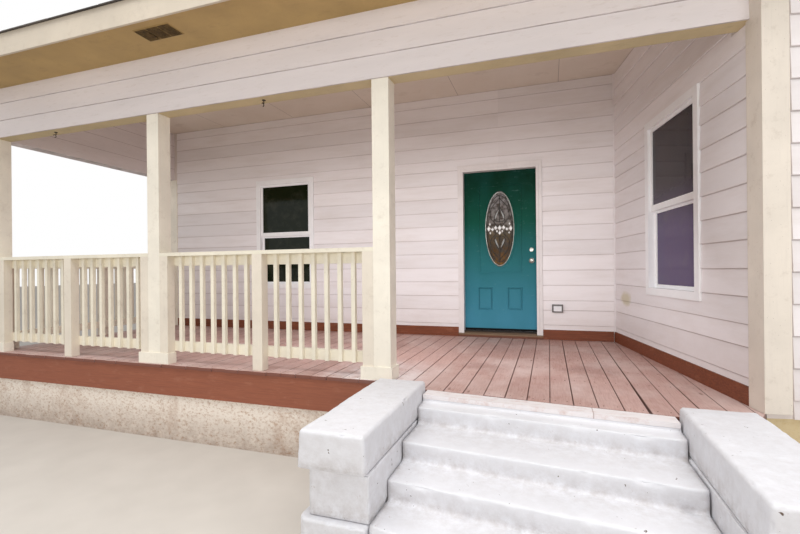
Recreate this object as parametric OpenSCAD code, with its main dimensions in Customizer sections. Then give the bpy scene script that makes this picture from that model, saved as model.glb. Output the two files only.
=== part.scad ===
// Front porch of a lap-sided house: deck, posts, railings, beam, low roof,
// masonry steps between two cheek walls, and the walls with their door and windows.
// House frame while modelling: x = 0 where the rear wall meets the angled return wall,
// y = 0 on the rear wall's face (the porch lies at negative y), z = 0 on the deck.
// place() moves everything so the origin is at the bottom centre of the whole part.

/* [Porch] */
// Depth of the deck from the rear wall to its front edge
porch_depth = 2490; // [2350:10:2650]
// Distance between post centres
bay = 2300; // [2100:10:2500]
// Distance from the third post's centre to the inside corner of the walls
step_bay = 1970; // [1930:2:2050]
// Angle of the return wall, opening towards the street
wall_angle = 10.26; // [6:0.02:12]
// Height of the deck above the ground
deck_h = 700; // [660:5:740]
// Thickness of the deck boards
deck_t = 30; // [25:1:38]
// Overhang of the deck boards past the rim board
deck_nose = 20; // [15:1:30]
// Height of the rim board under the deck
rim_h = 255; // [200:5:280]
// Thickness of the rim board
rim_t = 38; // [30:1:45]
// Thickness of the parged foundation wall
found_t = 150; // [120:5:200]

/* [Posts and railings] */
// Width of a square post
post_w = 140; // [120:2:160]
// Distance of the posts' front face behind the deck edge
post_in = 35; // [30:1:50]
// Height of the top of the rail cap above the deck
rail_h = 1038; // [950:1:1100]
// Thickness of the rail cap
cap_t = 33; // [25:1:40]
// Width of the rail cap
cap_w = 140; // [136:1:146]
// Width of a short newel post
newel_w = 100; // [80:2:120]
// Width of the half newel beside a post
half_newel_w = 95; // [70:1:100]
// Depth of the newels, front to back
newel_d = 85; // [70:1:90]
// Size of a square baluster
baluster_w = 34; // [28:1:38]
// Distance between baluster centres
baluster_pitch = 122; // [108:1:126]
// Thickness of the upper and lower rail boards
rail_t = 38; // [30:1:42]
// Height of the upper rail board
top_rail_h = 90; // [70:1:95]
// Height of the lower rail board
low_rail_h = 90; // [70:1:95]
// Gap between the deck and the lower rail
low_rail_gap = 110; // [102:1:120]
// Height of the trim round the foot of a post
base_h = 100; // [80:1:102]
// Thickness of the trim round the foot of a post
base_t = 14; // [10:1:18]

/* [Beam and roof] */
// Height of the underside of the beam above the deck
beam_z = 2350; // [2300:5:2420]
// Height of the soffit above the deck
soffit_z = 2888; // [2860:1:2940]
// Height of the ceiling above the deck
ceiling_z = 3110; // [3080:5:3140]
// Overhang of the eave in front of the beam
eave = 490; // [400:5:560]
// Height of the fascia board
fascia_h = 200; // [180:5:220]
// Thickness of the fascia, soffit end and rake boards
fascia_t = 20; // [16:1:25]
// Rise of the roof in each metre, in millimetres
roof_rise = 200; // [180:5:260]
// Thickness of the roof at the house wall
roof_t = 60; // [50:1:90]
// Thickness of the shingles' edge at the eave
roof_edge = 18; // [14:1:25]
// Overhang of the roof past the left-hand beam
rake = 200; // [120:5:240]
// Thickness of a frieze board at its lower edge
frieze_t = 15; // [12:1:20]
// Height of one frieze board that shows
frieze_lap = 186; // [180:1:200]
// Length of the soffit vent
vent_l = 350; // [300:5:400]
// Width of the soffit vent
vent_w = 160; // [140:5:200]

/* [Steps] */
// How far the deck stands out further at the left end of the steps
landing_out = 130; // [110:2:160]
// Angle of the steps to the porch's front
steps_angle = 5.7; // [2:0.1:8]
// Width of the board along the ends of the deck boards above the steps
edge_w = 120; // [100:2:140]
// Depth of the top tread, in front of the deck boards' ends
top_tread = 245; // [220:5:270]
// Depth of the second tread
second_tread = 328; // [300:2:350]
// Depth of each further tread
tread = 262; // [240:2:300]
// Drop from the deck to the top tread
top_drop = 45; // [40:1:60]
// Clear width of the steps between the cheek walls
step_w = 1510; // [1450:5:1560]
// Distance from the third post's centre line to the left side of the left cheek cap
cheek_in = 20; // [5:1:40]
// Width of the left cap slab
cheek_w = 385; // [350:5:410]
// Width of the right cap slab
right_cheek_w = 400; // [370:5:420]
// Thickness of the cap slab on a cheek wall
cheek_cap_t = 205; // [180:5:230]
// Height of the cap slabs' top above the deck's top
cheek_up = 70; // [40:1:90]
// Length of a cheek wall in front of the deck boards' ends
cheek_l = 1130; // [1050:5:1200]
// Set-back of the pedestal under a cap slab
pedestal_in = 45; // [30:1:60]

/* [Walls] */
// Thickness of the house walls
wall_t = 175; // [172:1:200]
// Distance of the house's street corner in front of the deck's edge
corner_out = 59; // [40:1:90]
// Width of the corner boards
corner_w = 124; // [100:2:134]
// Thickness of the corner boards
corner_t = 22; // [18:1:28]
// Length of the street wall that shows beyond the corner
street_l = 330; // [250:10:500]
// Width of the pilaster at the house's left corner
pilaster_w = 200; // [160:5:220]
// Height of the kick boards along the foot of the walls
kick_h = 118; // [90:1:130]
// Thickness of the kick board
kick_t = 20; // [15:1:24]

/* [Door] */
// Distance of the door's centre from the inside corner of the walls
door_x = 1325; // [1200:5:1400]
// Width of the door leaf
leaf_w = 914; // [860:2:920]
// Height of the door leaf
leaf_h = 2032; // [1990:2:2050]
// Thickness of the door leaf
leaf_t = 45; // [40:1:50]
// Height of the threshold's top above the deck
sill_z = 73; // [65:1:85]
// Clearance round the door leaf
leaf_gap = 5; // [5:0.5:6]
// Further clearance beside the hinge and latch edges
side_gap = 2; // [2:0.5:4]
// Thickness of a door jamb
jamb_t = 35; // [30:1:40]
// Width of the moulded casing round the door
casing_w = 53; // [48:1:60]
// How far the casing stands out from the wall
casing_t = 30; // [25:1:35]
// Width of the oval light in the door
oval_w = 365; // [320:5:380]
// Height of the oval light in the door
oval_h = 960; // [900:5:980]
// Distance of the oval's centre below the leaf's top edge
oval_down = 739; // [725:1:750]
// Width of the raised rim round the oval
oval_rim = 24; // [18:1:30]
// Distance of the raised rectangular moulding from the leaf's long edges
moulding_in = 189; // [175:1:200]
// Distance of the moulding's top and bottom from the oval
moulding_over = 82; // [70:1:90]
// Width of the moulding
moulding_w = 18; // [14:1:24]
// Width of a lower panel
panel_w = 168; // [150:2:180]
// Gap between the moulding and the lower panels
panel_gap = 191; // [180:1:200]
// Height of the lower panels' bottom above the leaf's bottom edge
panel_up = 270; // [255:1:285]
// Height of the knob's axis above the deck
knob_z = 960; // [940:5:980]
// Distance of the knob's axis from the latch edge
knob_in = 70; // [64:1:74]

/* [Windows] */
// Distance of the left window's centre from the inside corner
window_x = 4430; // [4300:5:4500]
// Distance of the return window's centre from the inside corner
return_window_x = 1410; // [1380:5:1440]
// Width of a window over its face flange
window_w = 970; // [900:5:980]
// Height of a window over its face flange
window_h = 1613; // [1560:1:1640]
// Height of the windows' lower edge above the deck
window_z = 603; // [590:1:640]
// Width of the face flange that laps the wall
flange = 35; // [30:1:40]
// How far the flange stands out from the wall
flange_t = 24; // [20:1:28]
// Width of the frame inside the flange
frame_w = 32; // [28:1:38]
// Width of the sash members beside the glass
stile = 32; // [28:1:38]
// Height of each of the two rails that meet at mid height
meeting_rail = 55; // [45:1:60]

/* [Hidden] */
$fn = 64;
skew_tan = tan(wall_angle);
post_f = -porch_depth + post_in;          // front face of the posts
post_b = post_f + post_w;                 // rear face of the posts
post3 = -step_bay;                        // post centres
post2 = post3 - bay;
post1 = post2 - bay;
left_x = post1 - post_w / 2;              // outer face of the left end
rim_f = -porch_depth + deck_nose;         // front face of the rim board
deck_left = left_x - post_in;             // left edge of the deck
ground = -deck_h;
riser = (deck_h - top_drop) / 6;          // height of every further step
found_z = -deck_t - rim_h;                // top of the deck's foundation
found_f = rim_f + rim_t / 2;              // front face of the foundation
rail_top = rail_h - cap_t;
eave_y = rim_f - eave;                    // front face of the fascia
fascia_z = soffit_z - 7;
soffit_t = 12;
ceiling_t = 12;
beam_top = ceiling_z + ceiling_t;
frieze_f = post_f - frieze_t;
return_l = mm((porch_depth + corner_out) / cos(wall_angle));
corner_x = return_l * sin(wall_angle);    // front corner of the return wall
corner_y = -porch_depth - corner_out;
street_end = corner_x + street_l * cos(wall_angle);
right_x = mm(street_end + 40);            // end of the soffit
rake_x = left_x - rake;                   // outer face of the rake board
roof_left = rake_x - 20;
roof_right = right_x + fascia_t;
drip = 25;
cheek1 = post3 + cheek_in;                // left side of the left cheek cap
cheek1_in = cheek1 + cheek_w;             // right side of the left cheek cap
cheek2_in = cheek1_in + step_w;           // left side of the right cheek cap
cheek2 = cheek2_in + right_cheek_w;       // right side of the right cheek cap
landing_y = -porch_depth - landing_out;   // ends of the deck boards at the left cheek
landing2_y = steps_line(cheek2_in, 0);    // ends of the deck boards at the right cheek
front_y = steps_line(cheek2_in, top_tread + second_tread + 4 * tread);
far = 2 * porch_depth;                    // reach of the shapes that only cut others
hair = 0.02;                              // space left at slanted faces for rounding
leaf_x = -door_x - leaf_w / 2;            // hinge edge of the leaf
leaf_y = 65;                              // outer face of the leaf
leaf_z = sill_z + leaf_gap;
leaf_top = leaf_z + leaf_h;
oval_z = leaf_top - oval_down;
jamb_in = leaf_w / 2 + leaf_gap + side_gap;
rough = jamb_in + jamb_t;                 // half width of the doorway in the wall
head_z = leaf_top + leaf_gap + jamb_t;    // top of the doorway in the wall
stop_in = leaf_w / 2 - 9.5;               // half width seen between the stops
hinge_x = leaf_x + 5;
hinge_y = leaf_y + leaf_t + 12;
hinge_h = 100;
pin_r = 3;
knuckle_r = 6.5;
hinge_run = 0.3;                          // running clearance at the hinge pins
plate_t = 2.5;
mid_x = (roof_left + roof_right) / 2;
mid_y = (front_y + wall_t) / 2;

// Length rounded to a hundredth of a millimetre.
function mm(v) = round(v * 100) / 100;

// Front line of the steps at x, the depth d in front of the deck boards' ends.
function steps_line(x, d) = landing_y - d - (x - cheek1_in) * tan(steps_angle);

function roof_u(y) = fascia_z + fascia_h + (y - eave_y) * roof_rise / 1000;

module place() { translate([-mid_x, -mid_y, deck_h]) children(); }

// Box given by two opposite corners.
module box(a, b) { translate(a) cube([b[0] - a[0], b[1] - a[1], b[2] - a[2]]); }

// Profile drawn in (y, z), run along x from x0 to x1.
module run_x(x0, x1, pts) {
    translate([x0, 0, 0]) rotate([90, 0, 90]) linear_extrude(x1 - x0) polygon(pts);
}

// Profile drawn in (x, z), run along y from y0 to y1.
module run_y(y0, y1, pts) {
    translate([0, y1, 0]) rotate([90, 0, 0]) linear_extrude(y1 - y0) polygon(pts);
}

// Everything on the far side of the return wall's face. Pieces cut with it end a hair short of
// the wall, so that the rounding of slanted coordinates can't make them overlap it.
module beyond_return() {
    translate([-hair, 0, -far]) linear_extrude(2 * far)
        polygon([[-wall_t * skew_tan, wall_t], [far * skew_tan, -far], [2 * far, -far],
            [2 * far, wall_t]]);
}

module over_roof() {
    run_x(roof_left - rake, roof_right + rake,
        [[-far, roof_u(-far)], [far, roof_u(far)], [far, 2 * far], [-far, 2 * far]]);
}

// Plan of the return wall and the short piece of street wall beyond its corner.
module return_plan() {
    rear = -wall_t * (1 - sin(wall_angle)) / cos(wall_angle);
    polygon([[0, 0], on_face(return_l, 0), on_face(return_l, street_l),
        on_face(return_l - wall_t, street_l), on_face(return_l - wall_t, wall_t),
        on_face(rear, wall_t), [0, wall_t]]);
}

// Plan position of a point s along the return wall and d behind its face.
function on_face(s, d) = [s * sin(wall_angle) + d * cos(wall_angle),
    -s * cos(wall_angle) + d * sin(wall_angle)];

// Both boards of the corner, as drawn on the return wall's face, a hair off the wall too.
module corner_legs() {
    on_return() {
        box([return_l - corner_w, -corner_t, 0], [return_l + 2 * hair, -hair, soffit_z]);
        box([return_l + hair, -corner_t, 0], [return_l + corner_t, corner_w, soffit_z]);
    }
}

// Room that the corner boards take out of the beam and the frieze.
module corner_cut() {
    on_return() box([return_l - corner_w, -corner_t, 0], [far, far, soffit_z]);
}

// Puts children drawn on a wall face (x along it, y into it) onto the return wall.
module on_return() { rotate([0, 0, wall_angle - 90]) children(); }

/* Walls */
module window_hole(xc) {
    box([xc - window_w / 2 + flange, -1, window_z + flange],
        [xc + window_w / 2 - flange, wall_t + 1, window_z + window_h - flange]);
}

module wall_block(x0, x1, z0) {
    run_x(x0, x1, [[0, z0], [wall_t, z0], [wall_t, roof_u(wall_t)], [0, roof_u(0)]]);
}

module wall_left() {
    color([0.92, 0.90, 0.89]) difference() {
        wall_block(left_x, -door_x - rough, -deck_t);
        window_hole(-window_x);
    }
}

module wall_right() {
    color([0.92, 0.90, 0.89]) wall_block(-door_x + rough, 0, -deck_t);
}

module wall_over_door() {
    color([0.92, 0.90, 0.89]) wall_block(-door_x - rough, -door_x + rough, head_z);
}

module return_wall() {
    color([0.92, 0.90, 0.89]) difference() {
        translate([0, 0, -deck_t]) linear_extrude(far) return_plan();
        on_return() window_hole(return_window_x);
        over_roof();
    }
}

module house_base() {
    color([0.72, 0.68, 0.62]) translate([0, 0, ground]) linear_extrude(deck_h - deck_t)
        union() {
            translate([left_x, 0]) square([-left_x, wall_t]);
            return_plan();
        }
}

// Boards on both sides of the return wall's front corner.
module corner_board() { color([0.94, 0.92, 0.86]) union() corner_legs(); }

module corner_pilaster() {
    color([0.94, 0.92, 0.86]) union() {
        box([left_x - corner_t, -corner_t, 0], [left_x + pilaster_w, 0, beam_z]);
        box([left_x - corner_t, -corner_t, 0], [left_x, wall_t, beam_z]);
    }
}

module kick_boards() {
    color([0.42, 0.24, 0.18]) {
        box([left_x + pilaster_w, -kick_t, 0], [-door_x - jamb_in - casing_w, 0, kick_h]);
        box([-door_x + jamb_in + casing_w, -kick_t, 0], [-kick_t - 6, 0, kick_h]);
        on_return() box([0.5, -kick_t, 0], [return_l - corner_w, 0, kick_h]);
    }
}

/* Door */
module door_frame() {
    color([0.94, 0.93, 0.90]) translate([-door_x, 0, 0]) difference() {
        box([-rough, 0, sill_z], [rough, wall_t, head_z]);
        box([-stop_in, -1, sill_z - 1], [stop_in, wall_t + 1, head_z - jamb_t - 11]);
        box([-jamb_in, leaf_y - leaf_gap, sill_z - 1], [jamb_in, wall_t + 1, head_z - jamb_t]);
    }
}

module door_casing() {
    color([0.95, 0.94, 0.91]) translate([-door_x, 0, 0]) difference() {
        box([-jamb_in - casing_w, -casing_t, 45],
            [jamb_in + casing_w, 0, head_z - jamb_t + casing_w + 20]);
        box([-stop_in, -casing_t - 1, 0], [stop_in, 1, head_z - jamb_t - 11]);
        box([-jamb_in - casing_w - 1, -casing_t - 1, 0],
            [-jamb_in - 12, -casing_t + 8, head_z - jamb_t + casing_w + 21]);
        box([jamb_in + 12, -casing_t - 1, 0],
            [jamb_in + casing_w + 1, -casing_t + 8, head_z - jamb_t + casing_w + 21]);
        box([-jamb_in - 13, -casing_t - 1, head_z - jamb_t + 22],
            [jamb_in + 13, -casing_t + 8, head_z - jamb_t + casing_w + 21]);
    }
}

module threshold() {
    color([0.62, 0.50, 0.30]) translate([-door_x, 0, 0]) union() {
        box([-rough, 0, -deck_t], [rough, wall_t, sill_z]);
        box([-jamb_in - casing_w, -casing_t - 8, 0], [jamb_in + casing_w, 0, 45]);
    }
}

// Raised panel: a sunk channel round a flat field.
module panel_channel(x0, x1, z0, z1) {
    difference() {
        box([x0, -1, z0], [x1, 7, z1]);
        box([x0 + 16, -2, z0 + 16], [x1 - 16, 8, z1 - 16]);
    }
}

module oval(w, h, t) {
    rotate([90, 0, 0]) translate([0, 0, -t]) linear_extrude(t) scale([w / h, 1]) circle(d = h);
}

// Two lower panels, their outer edges in line with the moulding's.
module leaf_panels() {
    out = leaf_w / 2 - moulding_in;
    top = oval_z - oval_h / 2 - moulding_over - panel_gap;
    panel_channel(-out, panel_w - out, leaf_z + panel_up, top);
    panel_channel(out - panel_w, out, leaf_z + panel_up, top);
}

module door_leaf() {
    color([0.10, 0.36, 0.40]) translate([-door_x, leaf_y, 0]) difference() {
        box([-leaf_w / 2, 0, leaf_z], [leaf_w / 2, leaf_t, leaf_top]);
        translate([0, -1, oval_z]) oval(oval_w, oval_h, leaf_t + 2);
        leaf_panels();
        translate([0, leaf_t, 0]) mirror([0, 1, 0]) leaf_panels();
    }
}

module door_glass() {
    color([0.75, 0.83, 0.85, 0.4]) translate([-door_x, leaf_y + leaf_t / 2 - 8, oval_z])
        oval(oval_w, oval_h, 16);
}

// Oval rim and rectangular moulding on each face of the leaf.
module face_moulding() {
    w = leaf_w / 2 - moulding_in;
    h = oval_h / 2 + moulding_over;
    difference() {
        translate([0, -9, oval_z]) oval(oval_w + 2 * oval_rim, oval_h + 2 * oval_rim, 9);
        translate([0, -10, oval_z]) oval(oval_w, oval_h, 11);
    }
    difference() {
        box([-w, -7, oval_z - h], [w, 0, oval_z + h]);
        box([moulding_w - w, -8, oval_z - h + moulding_w],
            [w - moulding_w, 1, oval_z + h - moulding_w]);
    }
}

module door_mouldings() {
    color([0.13, 0.40, 0.44]) translate([-door_x, leaf_y, 0]) {
        face_moulding();
        translate([0, leaf_t, 0]) mirror([0, 1, 0]) face_moulding();
    }
}

// Puts one hinge, drawn with its pin at x = y = 0, at each of three heights.
module at_hinges() {
    for (z = [leaf_z + 200, leaf_z + leaf_h / 2, leaf_top - 200])
        translate([hinge_x, hinge_y, z - hinge_h / 2]) children();
}

module door_hinge() {
    difference() {
        union() {
            translate([0, 0, hinge_h / 3]) cylinder(r = knuckle_r, h = hinge_h / 3);
            box([-1.5, leaf_y + leaf_t - hinge_y, hinge_h / 3], [1.5, 0, hinge_h * 2 / 3]);
            box([-3, leaf_y + leaf_t - hinge_y, 0],
                [32, leaf_y + leaf_t - hinge_y + plate_t, hinge_h]);
        }
        cylinder(r = pin_r + hinge_run, h = hinge_h);
    }
}

module frame_hinge() {
    jamb = leaf_x - leaf_gap - side_gap - hinge_x;
    union() {
        cylinder(r = pin_r, h = hinge_h);
        for (z = [0, hinge_h * 2 / 3 + hinge_run]) {
            translate([0, 0, z]) cylinder(r = knuckle_r, h = hinge_h / 3 - hinge_run);
            box([jamb + plate_t - 1, -1.5, z], [0, 1.5, z + hinge_h / 3 - hinge_run]);
        }
        box([jamb, -3, 0], [jamb + plate_t, 22, hinge_h]);
    }
}

module door_hinges() { color([0.72, 0.62, 0.38]) at_hinges() door_hinge(); }
module frame_hinges() { color([0.72, 0.62, 0.38]) at_hinges() frame_hinge(); }

module lathe_y(pts) { rotate([90, 0, 0]) rotate_extrude() polygon(pts); }

// Knob with its rose, drawn outwards from a door face.
module knob() {
    lathe_y([[0, 0], [33, 0], [33, 4], [28, 9], [13, 11], [11, 26], [20, 33], [26, 42],
        [26, 52], [18, 60], [0, 62]]);
}

module lock_ring() {
    lathe_y([[0, 0], [27, 0], [27, 8], [23, 15], [11, 15], [11, 12], [0, 12]]);
}

module door_hardware() {
    kx = -door_x + leaf_w / 2 - knob_in;
    color([0.66, 0.60, 0.46]) {
        translate([kx, leaf_y, knob_z]) knob();
        translate([kx, leaf_y, knob_z + 136]) lock_ring();
        translate([kx, leaf_y + leaf_t, knob_z]) rotate([0, 0, 180]) knob();
        translate([kx, leaf_y + leaf_t, knob_z + 136]) rotate([0, 0, 180]) lock_ring();
    }
}

/* Windows, drawn with x = 0 on the window's centre line */
win_in = flange + frame_w;
meet_z = window_z + window_h / 2 - 12;

module window_frame() {
    difference() {
        union() {
            box([-window_w / 2, -flange_t, window_z], [window_w / 2, 0, window_z + window_h]);
            box([-window_w / 2 + flange, 0, window_z + flange],
                [window_w / 2 - flange, 90, window_z + window_h - flange]);
        }
        box([-window_w / 2 + win_in, -flange_t - 1, window_z + win_in],
            [window_w / 2 - win_in, 91, window_z + window_h - win_in]);
    }
}

meet_up = meet_z - 16;                    // lower edge of the upper sash
meet_low = meet_z + 16;                   // upper edge of the lower sash
glass_l = [window_z + win_in + stile, meet_low - meeting_rail];
glass_u = [meet_up + meeting_rail, window_z + window_h - win_in - stile];

// One sash from z0 to z1, open where its glass g sits, with its front at y0.
module sash(z0, z1, g, y0) {
    difference() {
        box([-window_w / 2 + win_in, y0, z0], [window_w / 2 - win_in, y0 + 30, z1]);
        box([-window_w / 2 + win_in + stile, y0 - 1, g[0]],
            [window_w / 2 - win_in - stile, y0 + 31, g[1]]);
    }
}

module pane(g, y0) {
    box([-window_w / 2 + win_in + stile, y0 + 9, g[0]],
        [window_w / 2 - win_in - stile, y0 + 21, g[1]]);
}

module sash_pair() {
    sash(meet_up, window_z + window_h - win_in, glass_u, 2);
    sash(window_z + win_in, meet_low, glass_l, 36);
}

module pane_pair() {
    pane(glass_u, 2);
    pane(glass_l, 36);
}

// The same window twice: in the rear wall and in the return wall.
module at_windows() {
    translate([-window_x, 0, 0]) children();
    on_return() translate([return_window_x, 0, 0]) children();
}

module window_frames() { color([0.96, 0.96, 0.95]) at_windows() window_frame(); }
module window_sashes() { color([0.97, 0.97, 0.96]) at_windows() sash_pair(); }
module window_panes() { color([0.45, 0.52, 0.56, 0.5]) at_windows() pane_pair(); }

// Weatherproof socket box with its hinged lid, shut.
module outlet_box() {
    color([0.86, 0.87, 0.88]) translate([-640, 0, 330]) union() {
        box([-62, -32, 0], [62, 0, 94]);
        box([-56, -52, 8], [56, -32, 86]);
    }
}

/* Deck */
module deck_floor() {
    color([0.62, 0.46, 0.42]) translate([0, 0, -deck_t]) linear_extrude(deck_t)
        polygon([[deck_left, 0], [deck_left, -porch_depth], [cheek1, -porch_depth],
            [cheek1, landing_y], [cheek1_in, landing_y], [cheek2_in, landing2_y],
            [cheek2, landing2_y], [corner_x, corner_y], [0, 0]]);
}

// Plan strip between the cheek caps, d0 to d1 in front of the deck boards' ends.
module steps_plan(d0, d1, gap) {
    polygon([[cheek1_in + gap, steps_line(cheek1_in + gap, d0)],
        [cheek1_in + gap, steps_line(cheek1_in + gap, d1)],
        [cheek2_in - gap, steps_line(cheek2_in - gap, d1)],
        [cheek2_in - gap, steps_line(cheek2_in - gap, d0)]]);
}

// Painted board laid along the ends of the deck boards, above the steps.
module deck_edge_strip() {
    color([0.94, 0.90, 0.89]) translate([0, 0, -deck_t]) linear_extrude(deck_t - 1)
        steps_plan(0, edge_w, 2);
}

module rim_boards() {
    color([0.50, 0.25, 0.18]) {
        difference() {
            box([deck_left + deck_nose, rim_f, found_z], [far, rim_f + rim_t, -deck_t]);
            beyond_return();
        }
        box([deck_left + deck_nose, rim_f + rim_t + 1, found_z],
            [deck_left + deck_nose + rim_t, 0, -deck_t]);
    }
}

module deck_foundation() {
    x0 = deck_left + deck_nose + rim_t / 2;
    color([0.80, 0.79, 0.77]) difference() {
        box([x0, found_f, ground], [far, 0, found_z]);
        box([x0 + found_t, found_f + found_t, ground - 1], [far, 1, found_z + 1]);
        beyond_return();
    }
}

/* Steps: one concrete flight, and a cheek wall at each side */
module step_block(d, z) {
    translate([0, 0, ground]) linear_extrude(z - ground) polygon([[cheek1_in, rim_f],
        [cheek1_in, steps_line(cheek1_in, d)], [cheek2_in, steps_line(cheek2_in, d)],
        [cheek2_in, rim_f]]);
}

module steps() {
    color([0.93, 0.92, 0.90]) union() {
        step_block(edge_w, -deck_t);
        step_block(top_tread, -top_drop);
        for (i = [1:5])
            step_block(top_tread + second_tread + (i - 1) * tread, -top_drop - i * riser);
    }
}

cap_z = cheek_up - cheek_cap_t;           // underside of the cap slabs
base_z = -top_drop - 3 * riser;           // top of the base blocks, level with a tread

module cheek_caps() {
    color([0.94, 0.93, 0.91]) {
        box([cheek1, landing_y - cheek_l, cap_z], [cheek1_in, landing_y, cheek_up]);
        box([cheek2_in, landing2_y - cheek_l, cap_z], [cheek2, landing2_y, cheek_up]);
    }
}

// Pedestal between x0 and x1 on its wider base block, for the cap whose rear end is at y;
// l and r say which side is set back. It carries the deck behind the cap.
module cheek_pedestal(x0, x1, y, l, r) {
    union() {
        box([x0 + l * pedestal_in, y - cheek_l + pedestal_in, ground],
            [x1 - r * pedestal_in, rim_f, cap_z]);
        box([x0 + l * pedestal_in, y, ground], [x1 - r * pedestal_in, rim_f, -deck_t]);
        box([x0, y - cheek_l, ground], [x1, rim_f, base_z]);
    }
}

module cheek_pedestals() {
    color([0.93, 0.92, 0.90]) {
        cheek_pedestal(cheek1, cheek1_in, landing_y, 1, 0);
        cheek_pedestal(cheek2_in, cheek2, landing2_y, 0, 1);
    }
}

/* Posts and railings */
module posts() {
    color([0.93, 0.91, 0.85]) for (x = [post1, post2, post3])
        box([x - post_w / 2, post_f, 0], [x + post_w / 2, post_b, beam_z]);
}

// Trim round one post's foot; l and r say which sides have a half newel, and there the
// trim ends at the newel's rear face.
module post_base(x, l, r) {
    difference() {
        union() {
            box([x - post_w / 2 - l * half_newel_w - base_t, post_f - base_t, 0],
                [x, l > 0 ? post_f + newel_d : post_b + base_t, base_h]);
            box([x - 1, post_f - base_t, 0],
                [x + post_w / 2 + r * half_newel_w + base_t,
                    r > 0 ? post_f + newel_d : post_b + base_t, base_h]);
        }
        box([x - post_w / 2, post_f, -1], [x + post_w / 2, post_b, base_h + 1]);
        if (l > 0) box([x - post_w / 2 - half_newel_w, post_f, -1],
            [x, post_b + base_t + 1, base_h + 1]);
        if (r > 0) box([x, post_f, -1],
            [x + post_w / 2 + half_newel_w, post_b + base_t + 1, base_h + 1]);
    }
}

module post_bases() {
    color([0.93, 0.91, 0.85]) {
        post_base(post2, 1, 1);
        post_base(post3, 1, 0);
        difference() {
            post_base(post1, 0, 1);
            box([post1 - post_w / 2 - base_t - 1, post_b, -1],
                [post1 + post_w, post_b + base_t + 1, base_h + 1]);
        }
    }
}

// Newels of one front bay, between post faces x0 and x1.
module bay_newels(x0, x1) {
    m = (x0 + x1) / 2;
    box([x0, post_f, 0], [x0 + half_newel_w, post_f + newel_d, rail_top]);
    box([m - newel_w / 2, post_f, 0], [m + newel_w / 2, post_f + newel_d, rail_top]);
    box([x1 - half_newel_w, post_f, 0], [x1, post_f + newel_d, rail_top]);
}

// Railing of one bay from x0 to x1, drawn with its front face at y = f.
module railing(x0, x1, f) {
    m = (x0 + x1) / 2;
    box([x0, f, rail_top], [x1, f + cap_w, rail_h]);
    box([x0, f + newel_d, rail_top - top_rail_h], [x1, f + newel_d + rail_t, rail_top]);
    box([x0, f + newel_d, low_rail_gap],
        [x1, f + newel_d + rail_t, low_rail_gap + low_rail_h]);
    for (s = [-1, 1]) {
        mid = m + s * (m - newel_w / 2 - x0 - half_newel_w + newel_w) / 2;
        for (i = [-3:3])
            box([mid + i * baluster_pitch - baluster_w / 2,
                f + newel_d - baluster_w, low_rail_gap],
                [mid + i * baluster_pitch + baluster_w / 2, f + newel_d, rail_top]);
    }
}

module left_railing() {
    color([0.93, 0.91, 0.85])
        union() railing(post1 + post_w / 2, post2 - post_w / 2, post_f);
}

module right_railing() {
    color([0.93, 0.91, 0.85])
        union() railing(post2 + post_w / 2, post3 - post_w / 2, post_f);
}

// The left end's railing runs back to the pilaster; its outer face looks left.
module end_place() { translate([left_x, 0, 0]) rotate([0, 0, -90]) children(); }

module end_railing() {
    color([0.93, 0.91, 0.85]) end_place() union() railing(corner_t, -post_b, 0);
}

module newels() {
    color([0.93, 0.91, 0.85]) {
        bay_newels(post1 + post_w / 2, post2 - post_w / 2);
        bay_newels(post2 + post_w / 2, post3 - post_w / 2);
        end_place() translate([0, -post_f, 0]) bay_newels(corner_t, -post_b);
    }
}

/* Beam, ceiling and roof */
module front_beam() {
    color([0.66, 0.58, 0.42]) difference() {
        run_x(left_x, far, [[post_f, beam_z], [post_b, beam_z],
            [post_b, roof_u(post_b)], [post_f, roof_u(post_f)]]);
        beyond_return();
        corner_cut();
    }
}

module side_beam() {
    color([0.66, 0.58, 0.42]) run_x(left_x, left_x + post_w,
        [[post_b, beam_z], [0, beam_z], [0, roof_u(0)], [post_b, roof_u(post_b)]]);
}

// Lapped boards as (distance outwards, height), each thick at its lower edge.
function lap(z0, z1) = [[frieze_t, z0], [frieze_t, z0 + 4], [5, z1]];
function laps(n) = concat([[0, beam_z]], [for (i = [0:n - 1])
    for (p = lap(beam_z + i * frieze_lap, beam_z + (i + 1) * frieze_lap)) p],
    [[0, beam_z + n * frieze_lap]]);

module frieze_boards() {
    front = [for (p = laps(3)) [post_f - p[0], min(p[1], soffit_z)]];
    side = [for (p = laps(9)) [left_x - p[0], p[1]]];
    color([0.92, 0.90, 0.89]) {
        difference() {
            run_x(left_x + 0.5, far, front);
            beyond_return();
            corner_cut();
        }
        difference() {
            run_y(frieze_f, wall_t, side);
            over_roof();
        }
    }
}

module ceiling() {
    color([0.90, 0.88, 0.86]) difference() {
        box([left_x + post_w, post_b, ceiling_z], [far, 0, beam_top]);
        beyond_return();
    }
}

vent_x = post2 + 420;                     // centre of the soffit vent
vent_y = rim_f - eave / 2 - 50;

module soffit() {
    color([0.70, 0.60, 0.42]) difference() {
        box([rake_x + fascia_t, eave_y + fascia_t, soffit_z],
            [right_x, post_f, soffit_z + soffit_t]);
        translate([0, 0, soffit_z - 1]) linear_extrude(soffit_t + 2) return_plan();
        box([left_x - frieze_t, frieze_f, soffit_z - 1],
            [left_x + post_w, post_f + 1, soffit_z + soffit_t + 1]);
        box([vent_x - vent_l / 2, vent_y - vent_w / 2, soffit_z - 1],
            [vent_x + vent_l / 2, vent_y + vent_w / 2, soffit_z + soffit_t + 1]);
    }
}

vent_bar = 12;                            // bars between the vent's three openings
vent_rim = 22;
vent_slot = (vent_l - 2 * vent_rim - 2 * vent_bar) / 3;

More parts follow.
